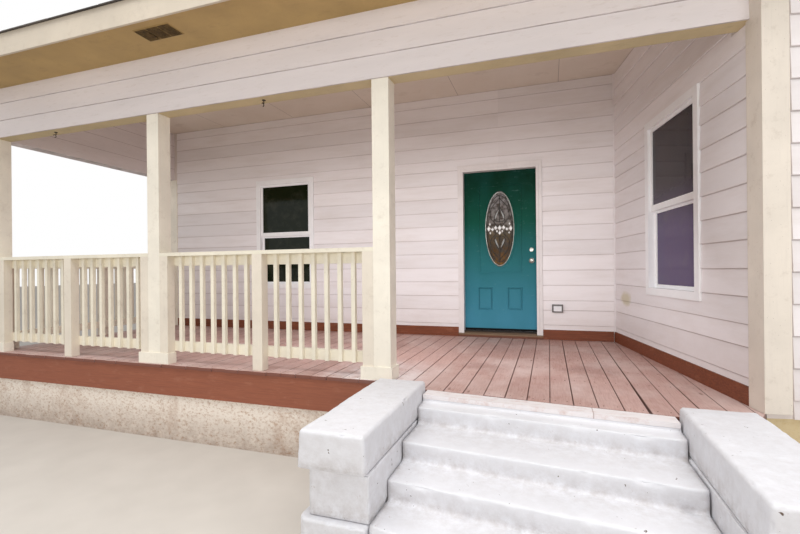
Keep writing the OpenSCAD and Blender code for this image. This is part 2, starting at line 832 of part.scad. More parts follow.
module soffit_vent() {
    color([0.60, 0.52, 0.38]) difference() {
        union() {
            box([vent_x - vent_l / 2, vent_y - vent_w / 2, soffit_z],
                [vent_x + vent_l / 2, vent_y + vent_w / 2, soffit_z + soffit_t]);
            box([vent_x - vent_l / 2 - 12, vent_y - vent_w / 2 - 12, soffit_z - 4],
                [vent_x + vent_l / 2 + 12, vent_y + vent_w / 2 + 12, soffit_z]);
        }
        for (i = [-1:1]) translate([vent_x + i * (vent_slot + vent_bar), vent_y, soffit_z])
            box([-vent_slot / 2, vent_rim - vent_w / 2, -5],
                [vent_slot / 2, vent_w / 2 - vent_rim, soffit_t + 1]);
    }
}

module fascia() {
    y1 = eave_y + fascia_t;
    color([0.95, 0.93, 0.87]) union() {
        run_x(rake_x, right_x + fascia_t,
            [[eave_y, fascia_z], [y1, fascia_z], [y1, roof_u(y1)], [eave_y, roof_u(eave_y)]]);
        run_x(rake_x, rake_x + fascia_t,
            [[y1, fascia_z], [rim_f, fascia_z], [rim_f, roof_u(rim_f) - fascia_h],
                [wall_t, roof_u(wall_t) - fascia_h], [wall_t, roof_u(wall_t)], [y1, roof_u(y1)]]);
        run_x(right_x, right_x + fascia_t,
            [[y1, fascia_z], [rim_f, fascia_z], [rim_f, roof_u(rim_f)], [y1, roof_u(y1)]]);
    }
}

module roof() {
    y0 = eave_y - drip;
    color([0.25, 0.23, 0.22]) run_x(roof_left, roof_right,
        [[y0, roof_u(y0)], [wall_t, roof_u(wall_t)], [wall_t, roof_u(wall_t) + roof_t],
            [y0, roof_u(y0) + roof_edge]]);
}

// Swivel hooks screwed into the beam's underside.
module hook() {
    union() {
        cylinder(r = 16, h = 4);
        translate([0, 0, -26]) cylinder(r = 4, h = 26);
        translate([0, -14, -40]) rotate([0, 90, 0]) rotate_extrude(angle = 250)
            translate([14, 0]) circle(r = 3.5);
    }
}

module plant_hooks() {
    color([0.06, 0.06, 0.06]) for (x = [post1 + 900, post2 + 1190])
        translate([x, (post_f + post_b) / 2, beam_z - 4]) hook();
}

place() {
    wall_left();
    wall_right();
    wall_over_door();
    return_wall();
    house_base();
    corner_board();
    corner_pilaster();
    kick_boards();
    door_frame();
    door_casing();
    threshold();
    door_leaf();
    door_glass();
    door_mouldings();
    door_hinges();
    frame_hinges();
    door_hardware();
    window_frames();
    window_sashes();
    window_panes();
    outlet_box();
    deck_floor();
    deck_edge_strip();
    rim_boards();
    deck_foundation();
    steps();
    cheek_caps();
    cheek_pedestals();
    posts();
    post_bases();
    newels();
    left_railing();
    right_railing();
    end_railing();
    front_beam();
    side_beam();
    frieze_boards();
    ceiling();
    soffit();
    soffit_vent();
    fascia();
    roof();
    plant_hooks();
}
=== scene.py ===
import bpy
import bmesh
import math
import random
from mathutils import Matrix, Vector, noise


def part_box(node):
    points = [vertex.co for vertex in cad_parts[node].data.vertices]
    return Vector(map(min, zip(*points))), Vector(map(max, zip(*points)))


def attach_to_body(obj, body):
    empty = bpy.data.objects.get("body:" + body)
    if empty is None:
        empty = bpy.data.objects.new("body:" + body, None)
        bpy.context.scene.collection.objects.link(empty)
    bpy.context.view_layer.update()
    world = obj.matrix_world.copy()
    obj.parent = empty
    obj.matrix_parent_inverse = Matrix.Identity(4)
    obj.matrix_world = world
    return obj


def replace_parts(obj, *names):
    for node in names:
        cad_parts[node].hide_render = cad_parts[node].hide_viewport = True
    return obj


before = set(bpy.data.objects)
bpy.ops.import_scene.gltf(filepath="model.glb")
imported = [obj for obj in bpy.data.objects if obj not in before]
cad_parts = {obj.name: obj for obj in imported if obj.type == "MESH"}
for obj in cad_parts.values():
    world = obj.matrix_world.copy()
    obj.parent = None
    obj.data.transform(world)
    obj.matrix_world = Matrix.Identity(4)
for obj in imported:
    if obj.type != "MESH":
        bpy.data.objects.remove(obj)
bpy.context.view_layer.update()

# House frame: x = 0 at the inside corner of the walls, y = 0 on the rear wall's face,
# z = 0 on the deck. home() turns a point of it into the row frame.
HOME = Vector((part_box("wall_right")[1][0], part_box("wall_left")[0][1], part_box("deck_floor")[1][2]))
SKEW = math.radians(10.26)
ALONG = Vector((math.sin(SKEW), -math.cos(SKEW), 0))    # along the return wall, to the street
INTO = Vector((math.cos(SKEW), math.sin(SKEW), 0))      # through the return wall, away from the deck
RIGHT, REAR, UP = Vector((1, 0, 0)), Vector((0, 1, 0)), Vector((0, 0, 1))
REAR_L = 6.44                           # the rear wall's length, from the inside corner to the left
RETURN_L = 2.549 / math.cos(SKEW)       # the return wall's length
SIDING_TOP = 3.1095
DOOR_X, DOOR_HALF, DOOR_HEAD = -1.325, 0.5185, 2.1895       # centre line and hole in the siding
WINDOW_X, RETURN_WINDOW = -4.43, 1.41                       # centre lines along their walls
WINDOW_HALF, WINDOW_FOOT, WINDOW_HEAD = 0.4865, 0.6015, 2.2175
OVAL_Z = 1.371                          # centre of the oval light
STAIN = (0.062, -0.34, 0.52)            # a yellowed patch on the return wall
OUTLET_Z = 0.377
GROUND = -0.7
DECK_RIGHT = 0.4614
# The steps' front lines are turned a little to the porch's front.
STEPS_SLOPE = math.tan(math.radians(5.7))
STEPS_TOP, STEPS_REAR = -0.0305, -2.4712
CHEEKS = ((-1.95, -1.565), (-0.055, 0.345))                 # sides of the left and right cheek
CHEEK_FRONTS = (-2.62, -2.7707)         # the deck's front edge behind either cheek
RISER = 0.655 / 6
ROOF_FRONT, TAB = -2.985, 0.305         # the roof's front edge and the width of a shingle's tab
BODY = "porch"


def home(x, y, z):
    return Vector((x, y, z)) + HOME


def steps_line(x, d):
    """y of the line d in front of the deck boards' ends, in the house frame."""
    return CHEEK_FRONTS[0] - d - (x + 1.565) * STEPS_SLOPE


def linear(c):
    """Linear colour of a screen colour in six hexadecimal digits; anything else stays as it is."""
    if not isinstance(c, str):
        return c

    def lin(v):
        v /= 255
        return v / 12.92 if v <= 0.04045 else ((v + 0.055) / 1.055) ** 2.4
    return (*map(lin, bytes.fromhex(c)), 1)


def shade(colour, k):
    """The same colour, k times as light."""
    return tuple(min(1.0, c * k) for c in linear(colour)[:3]) + (1,)


def add_object(name, data):
    o = bpy.data.objects.new(name, data)
    bpy.context.scene.collection.objects.link(o)
    return o


def wire(tree, links):
    """Joins nodes; each link is (node, output, node, input)."""
    for a, output, b, socket in links:
        tree.links.new(a.outputs[output], b.inputs[socket])


def make_camera():
    """The photograph's camera, solved from the porch's vanishing points and joints."""
    yaw, roll = math.radians(18.586), math.radians(-0.538)
    focal, rise, across = 443.14, 3.57, 800     # in pixels of the photograph
    front = Vector((-math.sin(yaw), math.cos(yaw), 0))
    level = Vector((math.cos(yaw), math.sin(yaw), 0))
    right = math.cos(roll) * level + math.sin(roll) * UP
    up = -math.sin(roll) * level + math.cos(roll) * UP
    cam = bpy.data.cameras.new("camera")
    cam.sensor_width = 36
    cam.lens = focal / across * 36
    cam.shift_y = rise / across
    cam.clip_end = 200
    o = add_object("camera", cam)
    m = Matrix((right, up, -front)).transposed().to_4x4()
    m.translation = home(-0.734, -5.677, 0.8513)
    o.matrix_world = m
    bpy.context.scene.camera = o


def make_world():
    """A soft sky; the camera, mirrors and glass see plain white in its place."""
    w = bpy.data.worlds.new("studio")
    bpy.context.scene.world = w
    w.use_nodes = True
    t = w.node_tree
    t.nodes.clear()
    out, mix, sky, white, path, seen, clear = [t.nodes.new("ShaderNode" + kind) for kind in (
        "OutputWorld", "MixShader", "Background", "Background", "LightPath", "Math", "Math")]
    sky.inputs[0].default_value = (0.96, 0.97, 1.0, 1)
    sky.inputs[1].default_value = 0.46
    white.inputs[0].default_value = (1, 1, 1, 1)
    seen.operation = clear.operation = "MAXIMUM"
    wire(t, ((path, "Is Camera Ray", seen, 0), (path, "Is Glossy Ray", seen, 1), (seen, 0, clear, 0),
             (path, "Is Transmission Ray", clear, 1), (clear, 0, mix, 0), (sky, 0, mix, 1),
             (white, 0, mix, 2), (mix, 0, out, 0)))
    bpy.context.scene.view_settings.view_transform = "Standard"


def area_light(name, size, watts, place, target, colour=(1, 1, 1)):
    lamp = bpy.data.lights.new(name, "AREA")
    lamp.shape = "RECTANGLE"
    lamp.size, lamp.size_y = size
    lamp.energy = watts
    lamp.color = colour
    o = add_object(name, lamp)
    o.location = place
    o.rotation_euler = (target - place).to_track_quat("-Z", "Y").to_euler()
    return o


def make_lights():
    """Two large lamps outside, and a faint one behind the beam for the walls under the roof."""
    area_light("overhead_softbox", (12, 4.6), 690, home(-1.2, -4.5, 7.5), home(-1.2, -4.2, 0.0))
    area_light("front_softbox", (12, 3), 360, home(0.2, -12, 2.2), home(-2.0, 0, 1.5),
               (1.0, 0.98, 0.95))
    fill = area_light("porch_fill", (4.4, 0.8), 29, home(-2.5, -1.9, 1.15), home(-2.5, -0.1, -0.25),
                      (0.93, 0.96, 1.0))
    fill.visible_camera = fill.visible_glossy = False


def make_floor():
    half = 60
    me = plain_mesh("floor", [(-half, -half, 0), (half, -half, 0), (half, half, 0), (-half, half, 0)],
                    [(0, 1, 2, 3)])
    g = Graph("pale_floor")
    g.base = g.ramp(g.noise(3.0, 2), [(0.3, "c8c2ba"), (0.7, "cec8c0")])
    me.materials.append(g.finish(0.9))
    add_object("floor", me)


class Graph:
    """A procedural material: short calls that add nodes and hand back their output."""

    def __init__(self, name):
        self.base = None        # the surface's colour so far
        self.material = bpy.data.materials.new(name)
        self.material.use_nodes = True
        self.t = self.material.node_tree
        self.t.nodes.clear()
        self.b = self.add("BsdfPrincipled")
        self.put(self.add("OutputMaterial").inputs[0], self.b.outputs[0])

    def add(self, kind, settings=(), **inputs):
        """A shader node with its settings and its named inputs filled in."""
        n = self.t.nodes.new("ShaderNode" + kind)
        for key, v in dict(settings).items():
            setattr(n, key, v)
        for key, v in inputs.items():
            self.put(n.inputs[key], v)
        return n

    def put(self, socket, v):
        if isinstance(v, bpy.types.NodeSocket):
            self.t.links.new(v, socket)
        else:
            socket.default_value = v

    def place(self, stretch=(1, 1, 1)):
        """The surface's place in the frame, with its coordinates stretched."""
        spot = self.add("TexCoord").outputs["Object"]
        return self.add("Mapping", Vector=spot, Scale=stretch).outputs[0]

    def axis(self, letter, origin=0.0):
        """One house-frame coordinate of the surface, measured from origin."""
        s = self.add("SeparateXYZ", Vector=self.add("TexCoord").outputs["Object"])
        k = "XYZ".index(letter)
        return self.math("SUBTRACT", s.outputs[k], origin + HOME[k])

    def noise(self, scale, detail=4, rough=0.55, distort=0.0, stretch=(1, 1, 1)):
        return self.add("TexNoise", Vector=self.place(stretch), Scale=scale, Detail=detail,
                        Roughness=rough, Distortion=distort).outputs[0]

    def cells(self, scale, feature="F1", stretch=(1, 1, 1)):
        return self.add("TexVoronoi", {"feature": feature}, Vector=self.place(stretch),
                        Scale=scale).outputs[0]

    def ramp(self, value, stops):
        """stops are (place, number or colour), in rising order."""
        n = self.add("ValToRGB")
        self.put(n.inputs[0], value)
        e = n.color_ramp.elements
        while len(e) < len(stops):
            e.new(1.0)
        for k, (p, c) in enumerate(stops):
            e[k].position = p
            e[k].color = (c, c, c, 1) if isinstance(c, (int, float)) else linear(c)
        return n.outputs[0]

    def fade(self, value, start, end, most=1.0):
        """0 where value is at start and most where it has come to end, above or below start."""
        return self.ramp(value, sorted([(start, 0.0), (end, most)]))

    def mix(self, fac, a, b):
        n = self.add("Mix", {"data_type": "RGBA"})
        for k, v in ((0, fac), (6, linear(a)), (7, linear(b))):
            self.put(n.inputs[k], v)
        return n.outputs[2]

    def blend(self, a, b, value, start, end, most=1.0):
        """Colour a, going over to b as value comes from start to end."""
        return self.mix(self.fade(value, start, end, most), a, b)

    def lay(self, colour, amount):
        """Lays a colour over the one so far."""
        self.base = self.mix(amount, self.base, colour)

    def over(self, colour, value, start, end, most=1.0):
        self.lay(colour, self.fade(value, start, end, most))

    def math(self, op, a, b=0.0):
        n = self.add("Math", {"operation": op})
        self.put(n.inputs[0], a)
        self.put(n.inputs[1], b)
        return n.outputs[0]

    def times(self, a, b):
        return self.math("MULTIPLY", a, b)

    def attribute(self, name):
        return self.add("Attribute", {"attribute_name": name}).outputs["Fac"]

    def edge(self, radius=0.003):
        """The normal, rounded over the edges."""
        return self.add("Bevel", {"samples": 4}, Radius=radius).outputs[0]

    def bump(self, height, strength=0.3, distance=0.001, normal=None):
        n = self.add("Bump", Strength=strength, Distance=distance, Height=height)
        if normal is not None:
            self.put(n.inputs["Normal"], normal)
        return n.outputs[0]

    def finish(self, rough, normal=None, **values):
        """Fills in the shader's own sockets and hands the material over."""
        if normal is not None:
            values["Normal"] = normal
        for name, v in {"Base Color": self.base, "Roughness": rough, **values}.items():
            self.put(self.b.inputs[name], v)
        return self.material


# Stretches of the wood's grain along the board
UPRIGHT, LEVEL, INWARD = (1, 1, 0.06), (0.06, 1, 1), (1, 0.06, 1)


def paint(name, colour, along, dirty=0.25, grain=0.25, edge=0.003):
    """Brushed house paint on wood: blotches, grain showing along the board, dirt and flecks."""
    g = Graph(name)
    rough, grime = 0.45, "968068"
    g.base = g.blend(shade(colour, 0.91), shade(colour, 1.03), g.noise(2.3, 5, 0.6), 0.35, 0.65)
    fibres = g.noise(60, 4, 0.6, stretch=along)
    g.over(shade(colour, 0.78), fibres, 0.45, 0.25, 0.22)
    spots = g.noise(11, 6, 0.72)
    g.lay(grime, g.times(g.fade(spots, 0.55, 0.78), dirty))
    flecks = g.cells(34)
    g.lay(shade(grime, 0.6), g.times(g.fade(flecks, 0.06, 0.035), dirty * 2))
    n = g.bump(fibres, grain, 0.0012, g.edge(edge) if edge else None)
    gloss = g.ramp(g.noise(9, 3), [(0.3, rough - 0.06), (0.7, rough + 0.1)])
    return g.finish(gloss, g.bump(g.noise(300, 2), 0.08, 0.0006, n))


# line is the colour of the painted shadow under each lap
def siding_paint(name, colour, line="8c7468"):
    """Painted lap board: each board a tone apart, embossed grain, and a painted shadow line under the
    lap above.
    """
    g = Graph(name)
    g.base = g.mix(g.attribute("tint"), shade(colour, 0.93), shade(colour, 1.02))
    grime = g.noise(1.6, 6, 0.65, stretch=(0.8, 0.8, 5))
    g.over("c4b4a8", grime, 0.45, 0.8, 0.28)
    low = g.math("SUBTRACT", 0.5, g.axis("Z"))
    g.lay("bea594", g.times(g.fade(low, 0.0, 0.6, 0.5), g.noise(7, 5, 0.7)))
    spot = g.add("VectorMath", {"operation": "DISTANCE"})
    g.put(spot.inputs[0], g.place((1, 1, 2)))
    g.put(spot.inputs[1], home(*STAIN) * Vector((1, 1, 2)))
    far = g.math("ADD", spot.outputs["Value"], g.times(g.noise(14, 4), 0.12))
    g.over("cec4a0", far, 0.24, 0.15, 0.75)
    # painted shadow: a dark line along the top of each board, under the butt of the lap above
    rise = g.math("ADD", g.attribute("rise"), g.times(g.noise(5, 4), 0.03))
    g.over(line, rise, 0.962, 0.985, 0.38)
    grain = g.noise(9, 5, 0.6, 0.4, stretch=(1.2, 1.2, 26))
    n = g.bump(grain, 0.25, 0.001)
    return g.finish(0.5, g.bump(g.noise(260, 2), 0.1, 0.0005, n))


def plain_mesh(name, verts, faces=(), **values):
    """Mesh from lists; each value is (POINT or FACE, one number for every point or face)."""
    me = bpy.data.meshes.new(name)
    me.from_pydata([tuple(v) for v in verts], [], faces)
    for key, (kind, numbers) in values.items():
        me.attributes.new(key, "FLOAT", kind).data.foreach_set("value", numbers)
    return me


def turn_outwards(me, cuts=(), bevel=0.0):
    """Turns all faces outwards; cuts are (place, normal) planes, and bevel rounds the edges."""
    bm = bmesh.new()
    bm.from_mesh(me)
    bmesh.ops.recalc_face_normals(bm, faces=bm.faces)
    for co, no in cuts:
        cut = bmesh.ops.bisect_plane(bm, geom=bm.verts[:] + bm.edges[:] + bm.faces[:], dist=1e-6,
                                     plane_co=co, plane_no=no, clear_outer=True)
        edges = [e for e in cut["geom_cut"] if isinstance(e, bmesh.types.BMEdge)]
        bmesh.ops.holes_fill(bm, edges=edges, sides=0)
        bmesh.ops.recalc_face_normals(bm, faces=bm.faces)
    if bevel:
        bmesh.ops.bevel(bm, geom=bm.edges[:], offset=bevel, segments=2, profile=0.5, affect="EDGES",
                        clamp_overlap=True)
    bm.to_mesh(me)
    bm.free()


class Solids:
    """Closed solids in one mesh, each with a tint between 0 and 1; rise runs up a board, and on the
    deck's boards it carries their painted shade.
    """

    def __init__(self, seed=1):
        self.v, self.f, self.tints, self.rise = [], [], [], []
        self.rand = random.Random(seed)

    def loft(self, rings, tint=None, rise=None):
        """Closed solid through rings with the same number of points; rise has one for each point."""
        n, k, last = len(rings[0]), len(self.v), len(rings) - 1
        tint = self.rand.random() if tint is None else tint
        self.v += [p for ring in rings for p in ring]
        self.rise += rise or [0.0] * n * len(rings)
        self.f.append(tuple(range(k + n - 1, k - 1, -1)))
        self.f.append(tuple(range(k + last * n, k + last * n + n)))
        for i in range(last):
            for j in range(n):
                a, b = k + i * n + j, k + i * n + (j + 1) % n
                self.f.append((a, b, b + n, a + n))
        self.tints += [tint] * (2 + last * n)

    def tube(self, path, r):
        """Closed round bar along a path, pressed a little flat from front to rear."""
        rings, sides, flat = [], 8, 0.7
        for i, p in enumerate(path):
            d = (path[min(i + 1, len(path) - 1)] - path[max(i - 1, 0)]).normalized()
            side = d.cross(REAR)
            side = side.normalized() if side.length > 1e-6 else RIGHT.copy()
            up = side.cross(d).normalized()
            rings.append([p + (side * math.cos(t) + up * math.sin(t) * flat) * r
                          for t in [2 * math.pi * j / sides for j in range(sides)]])
        self.loft(rings, 0.5)

    def piece(self, name, material, slot, body=BODY, cuts=(), smooth=False, bevel=0.0):
        me = plain_mesh(name, self.v, self.f, tint=("FACE", self.tints), rise=("POINT", self.rise))
        turn_outwards(me, cuts, bevel)
        for p in me.polygons:
            p.use_smooth = smooth
        return attach(name, me, material, body)


def coat(me, material):
    me.materials.clear()
    me.materials.append(material)


def attach(name, me, material, body=BODY):
    o = add_object(name, me)
    coat(me, material)
    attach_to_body(o, body)
    return o


def dress(material, *nodes):
    """Gives CAD nodes a procedural material in place of their plain one."""
    for n in nodes:
        coat(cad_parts[n].data, material)


def lap_siding(name, material, start, run, out, length, laps, top, holes=(), seed=1):
    """Lapped boards on a wall face: start is the wall's foot, run its direction and out its normal.
    holes are (u0, u1, z0, z1) boxes left free for openings, in the wall's own coordinates."""
    s = Solids(seed)
    thick, thin, lip = 0.0125, 0.003, 0.0016
    edges = sorted({0.0, length} | {u for h in holes for u in h[:2] if 0 < u < length})
    zs = list(laps) + [top]
    for z0, z1 in zip(zs, zs[1:]):
        tint = s.rand.random()
        spans = []
        for u0, u1 in zip(edges, edges[1:]):
            mid = (u0 + u1) / 2
            free = [(z0, z1)]
            for h in holes:
                if h[0] < mid < h[1]:
                    free = [p for a, b in free for p in ((a, min(b, h[2])), (max(a, h[3]), b))
                            if p[1] - p[0] > 1e-4]
            for a, b in free:
                if spans and spans[-1][1] == u0 and spans[-1][2:] == (a, b):
                    spans[-1] = (spans[-1][0], u1, a, b)
                else:
                    spans.append((u0, u1, a, b))
        for u0, u1, a, b in spans:
            def depth(z):
                return thin + (thick - thin) * (z1 - z) / (z1 - z0)
            face = depth(a)
            prof = [(0, a), (face - lip, a), (face - lip * 0.3, a + lip * 0.3), (face, a + lip)]
            if b == z1 and b - a > 0.02:
                prof += [(depth(b - 0.006), b - 0.006), (0.0008, b - 0.0045), (0.0008, b), (0, b)]
            else:
                prof += [(depth(b), b), (0, b)]
            rise = [(z - z0) / (z1 - z0) for d, z in prof]
            rings = [[start + run * u + out * d + UP * z for d, z in prof] for u in (u0, u1)]
            s.loft(rings, tint, rise * 2)
    return s.piece(name, material, "siding")


def make_siding():
    """Boards on four wall faces; the heights of their laps were read from the photograph."""
    m = siding_paint("siding_paint", "f5eff0")
    over_door = [2.283, 2.463, 2.643, 2.823, 3.003]
    left = [0.095, 0.163] + [0.163 + 0.18 * k for k in range(1, 12)] + over_door
    right = [0.095, 0.177, 0.357, 0.474, 0.66, 0.841, 1.021, 1.2, 1.382, 1.56, 1.743, 1.923,
             2.097] + over_door
    turned = [0.095, 0.17, 0.358, 0.5, 0.672, 0.847, 1.027, 1.2, 1.375, 1.553, 1.722, 1.9, 2.04,
              2.216, 2.392, 2.568, 2.744, 2.92]

    def window_hole(x):
        return x - WINDOW_HALF, x + WINDOW_HALF, WINDOW_FOOT, WINDOW_HEAD
    bead_w, corner_w = 0.019, 0.1445
    lap_siding("left_siding", m, home(-REAR_L, 0, 0), RIGHT, -REAR, REAR_L + DOOR_X, left,
               SIDING_TOP,
               [(DOOR_X - DOOR_HALF + REAR_L, 99, -1, DOOR_HEAD), window_hole(WINDOW_X + REAR_L)], 3)
    outlet = (-DOOR_X - 0.703, -DOOR_X - 0.577, 0.3295, 0.4245)
    lap_siding("right_siding", m, home(DOOR_X, 0, 0), RIGHT, -REAR, -DOOR_X - bead_w, right,
               SIDING_TOP, [(-99, DOOR_HALF, -1, DOOR_HEAD), outlet], 5)
    beam_end = (2.271, 99, 2.349, 9)
    lap_siding("return_siding", m, home(0, 0, 0) + ALONG * bead_w, ALONG, -INTO, RETURN_L - corner_w,
               turned, SIDING_TOP, [window_hole(RETURN_WINDOW - bead_w), beam_end], 7)
    # the street wall's painted lap shadows are darker
    lap_siding("street_siding", siding_paint("street_siding_paint", "f2ecec", "60504c"),
               home(0, 0, 0) + ALONG * RETURN_L + INTO * 0.1385, INTO, ALONG, 0.1915,
               [-0.03] + [0.08 + 0.186 * k for k in range(15)], 2.887, [], 9)
    bead = Solids()
    q = 0.018
    ring = [Vector((0, 0, 0)), Vector((-q, 0, 0)), Vector((-q, -q, 0)), ALONG * q]
    bead.loft([[home(0, 0, z) + p for p in ring] for z in (0.1185, SIDING_TOP)], 0.8)
    bead.piece("inside_corner_bead", m, "siding")


def frieze_paint():
    """The frieze's laps stand in the frame; here each gets its grain and a painted shadow line at the
    lap's edge above it.
    """
    g = Graph("frieze_paint")
    white = "eee6e6"
    cloud = g.noise(2.0, 5, 0.6, stretch=(0.5, 0.5, 3))
    g.base = g.blend(white, shade(white, 0.92), cloud, 0.35, 0.7)
    wave = g.times(g.noise(5, 4), 0.005)
    # painted shadow: a dark line at each lap's edge, every 0.186 m up from the beam
    rise = g.math("FRACT", g.math("DIVIDE", g.math("ADD", g.axis("Z", 2.35), wave), 0.186))
    line = g.ramp(rise, [(0.0, 0.65), (0.008, 0.55), (0.018, 0.0), (0.985, 0.0), (0.995, 0.65)])
    g.lay("74625c", line)
    grime = g.noise(9, 6, 0.7, stretch=(1, 1, 4))
    g.over("bcaca0", grime, 0.56, 0.8, 0.4)
    grain = g.noise(9, 5, 0.6, 0.4, stretch=(1, 1, 26))
    return g.finish(0.5, g.bump(grain, 0.25, 0.001, g.edge(0.002)))


def ceiling_paint():
    """Painted sheets with narrow joints across the porch."""
    g = Graph("ceiling_paint")
    g.base = g.blend("e6dbce", "ded1c2", g.noise(1.6, 5, 0.6), 0.3, 0.7)
    across = g.math("FRACT", g.math("DIVIDE", g.axis("X"), 1.22))
    joint = g.math("ABSOLUTE", g.math("SUBTRACT", across, 0.5))
    g.over("6e5c4a", joint, 0.003, 0.0016, 0.75)
    stain = g.noise(3.1, 6, 0.66, stretch=(1, 1.5, 1))
    g.over("968062", stain, 0.58, 0.78, 0.35)
    return g.finish(0.7, g.bump(g.noise(130, 3), 0.12, 0.0008))


def inset(poly, r):
    """Plan polygon, counter-clockwise, drawn in by r all round."""
    out = []
    for i, p in enumerate(poly):
        a = (Vector(p) - Vector(poly[i - 1])).normalized()
        b = (Vector(poly[(i + 1) % len(poly)]) - Vector(p)).normalized()
        na, nb = Vector((-a.y, a.x)), Vector((-b.y, b.x))
        out.append(Vector(p) + (na + nb) * (r / (1 + na.dot(nb))))
    return out


def deck_stain():
    g = Graph("deck_stain")
    light, mid, deep = "d3b0a7", "b1877d", "7a564a"
    grain = g.noise(6, 6, 0.65, 0.6, stretch=(22, 1.3, 22))
    g.base = g.blend(mid, light, grain, 0.3, 0.7)
    g.lay("966c5e", g.times(g.attribute("tint"), 0.4))
    wear = g.noise(2.4, 6, 0.65, stretch=(1, 0.7, 1))
    g.over("d8c4be", wear, 0.46, 0.68, 0.6)
    # pale dust beside the left cheek, over the front of the deck
    across = g.ramp(g.axis("X", -2.6), [(0.0, 0.15), (0.4, 1.0), (0.7, 1.0), (1.0, 0.1)])
    dust = g.times(across, g.fade(g.times(g.axis("Y", -1.6), -1.0), 0.0, 0.8))
    g.lay("f4eded", g.times(dust, g.ramp(g.noise(7, 6, 0.7), [(0.35, 0.2), (0.6, 1.0)])))
    g.over(deep, g.noise(1.3, 5, 0.6), 0.56, 0.76, 0.5)
    g.over(deep, g.cells(1.0, stretch=(5.5, 1.6, 5.5)), 0.07, 0.03, 0.7)
    # painted shade: the boards' sides and undersides darkened, in the shaded joints between boards
    g.lay("5c382c", g.attribute("rise"))
    facing = g.add("SeparateXYZ", Vector=g.add("NewGeometry").outputs["Normal"])
    g.over("764232", g.times(facing.outputs["Y"], -1.0), 0.5, 0.8, 0.85)
    n = g.bump(grain, 0.4, 0.0014)
    n = g.bump(g.noise(120, 3, stretch=(1, 0.25, 1)), 0.2, 0.0008, n)
    return g.finish(g.ramp(wear, [(0.3, 0.5), (0.7, 0.75)]), n)


def deck_front(x):
    """y of the boards' front edge at x; the deck stands further out behind the cheeks and steps."""
    if x < CHEEKS[0][0]:
        return -2.49
    if x < CHEEKS[0][1]:
        return CHEEK_FRONTS[0]
    if x < CHEEKS[1][0]:
        return steps_line(x, 0)
    if x < CHEEKS[1][1]:
        return CHEEK_FRONTS[1]
    return CHEEK_FRONTS[1] + (x - CHEEKS[1][1]) * 0.2217 / 0.1164


def make_deck():
    """Boards from front to rear with open joints, ragged at the front edge."""
    s = Solids(11)
    pitch, thick, r = 0.1425, 0.0295, 0.004
    joints, x = [], -0.877 - 41 * pitch
    while x < DECK_RIGHT:
        joints.append(x)
        x += pitch
    joints = [-6.675] + [j for j in joints if j > -6.65] + [DECK_RIGHT + 0.005]
    boards = []
    for a, b in zip(joints, joints[1:]):
        opened = 1 if abs(b + 0.1645) < 0.02 else 0     # the one wide joint, near the right cheek
        b -= s.rand.uniform(0.002, 0.005)
        rag = s.rand.uniform(0, 0.012)
        sink = s.rand.uniform(0.0002, 0.0016)
        plan = [(a, deck_front(a + 1e-5) + rag)]
        for c in CHEEKS[0] + CHEEKS[1]:
            if a + 0.004 < c < b - 0.004:
                plan += [(c, deck_front(c - 1e-5) + rag), (c, deck_front(c + 1e-5) + rag)]
        plan += [(b - 0.013 * opened, deck_front(b - 1e-5) + rag), (b - 0.004 * opened, -1.95),
                 (b, -0.0005), (a, -0.0005)]
        rings = [[home(*p, z - sink) for p in ring] for ring, z in (
            (plan, -thick), (plan, -r), (inset(plan, r * 0.35), -r * 0.3), (inset(plan, r), 0))]
        # rise here is painted shade: 0.8 under the boards, 0.6 to 0.5 at the top of their sides, none
        # on top
        s.loft(rings, None, [dark for dark in (0.8, 0.6, 0.5, 0.0) for p in plan])
        boards.append(((a + b) / 2, b - a, max(deck_front(a), deck_front(b)) + rag))
    along_wall = home(0, 0, 0) - INTO * 0.0006, INTO
    o = s.piece("deck_boards", deck_stain(), "deck_wood", cuts=[along_wall])
    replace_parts(o, "deck_floor")
    spots = []
    for x, width, front in boards:
        if width < 0.08:
            continue
        for y in [front + 0.055, -2.06, -1.65, -1.24, -0.83, -0.42, -0.05]:
            for side in (-0.036, 0.036):
                dx = s.rand.uniform(-0.004, 0.004)
                p = home(x + side + dx, y + s.rand.uniform(-0.006, 0.006), 0.0)
                if (p - home(0, 0, 0)).dot(INTO) < -0.02:
                    spots.append(p - UP * 0.0012)
    dull = mottled("screw_metal", "5c463a", "867062", 40, 0.5, Metallic=0.6)
    scatter("deck_screws", spots, screw_head(), dull, (0, 0, 0), 0.88, 1.08, 21)


def screw_head():
    s = Solids()
    n, r = 10, 0.0042
    ring = [Vector((math.cos(2 * math.pi * i / n) * r, math.sin(2 * math.pi * i / n) * r, 0))
            for i in range(n)]
    s.loft([[p - UP * 0.001 for p in ring], [p * 0.9 + UP * 0.0012 for p in ring]])
    return s


def mottled(name, colour, other, scale, rough, detail=4, relief=None, **values):
    """Finish of a small plain piece in two tones; relief is (strength, depth)."""
    g = Graph(name)
    n = g.noise(scale, detail)
    g.base = g.blend(colour, other, n, 0.4, 0.6)
    return g.finish(rough, relief and g.bump(n, *relief), **values)


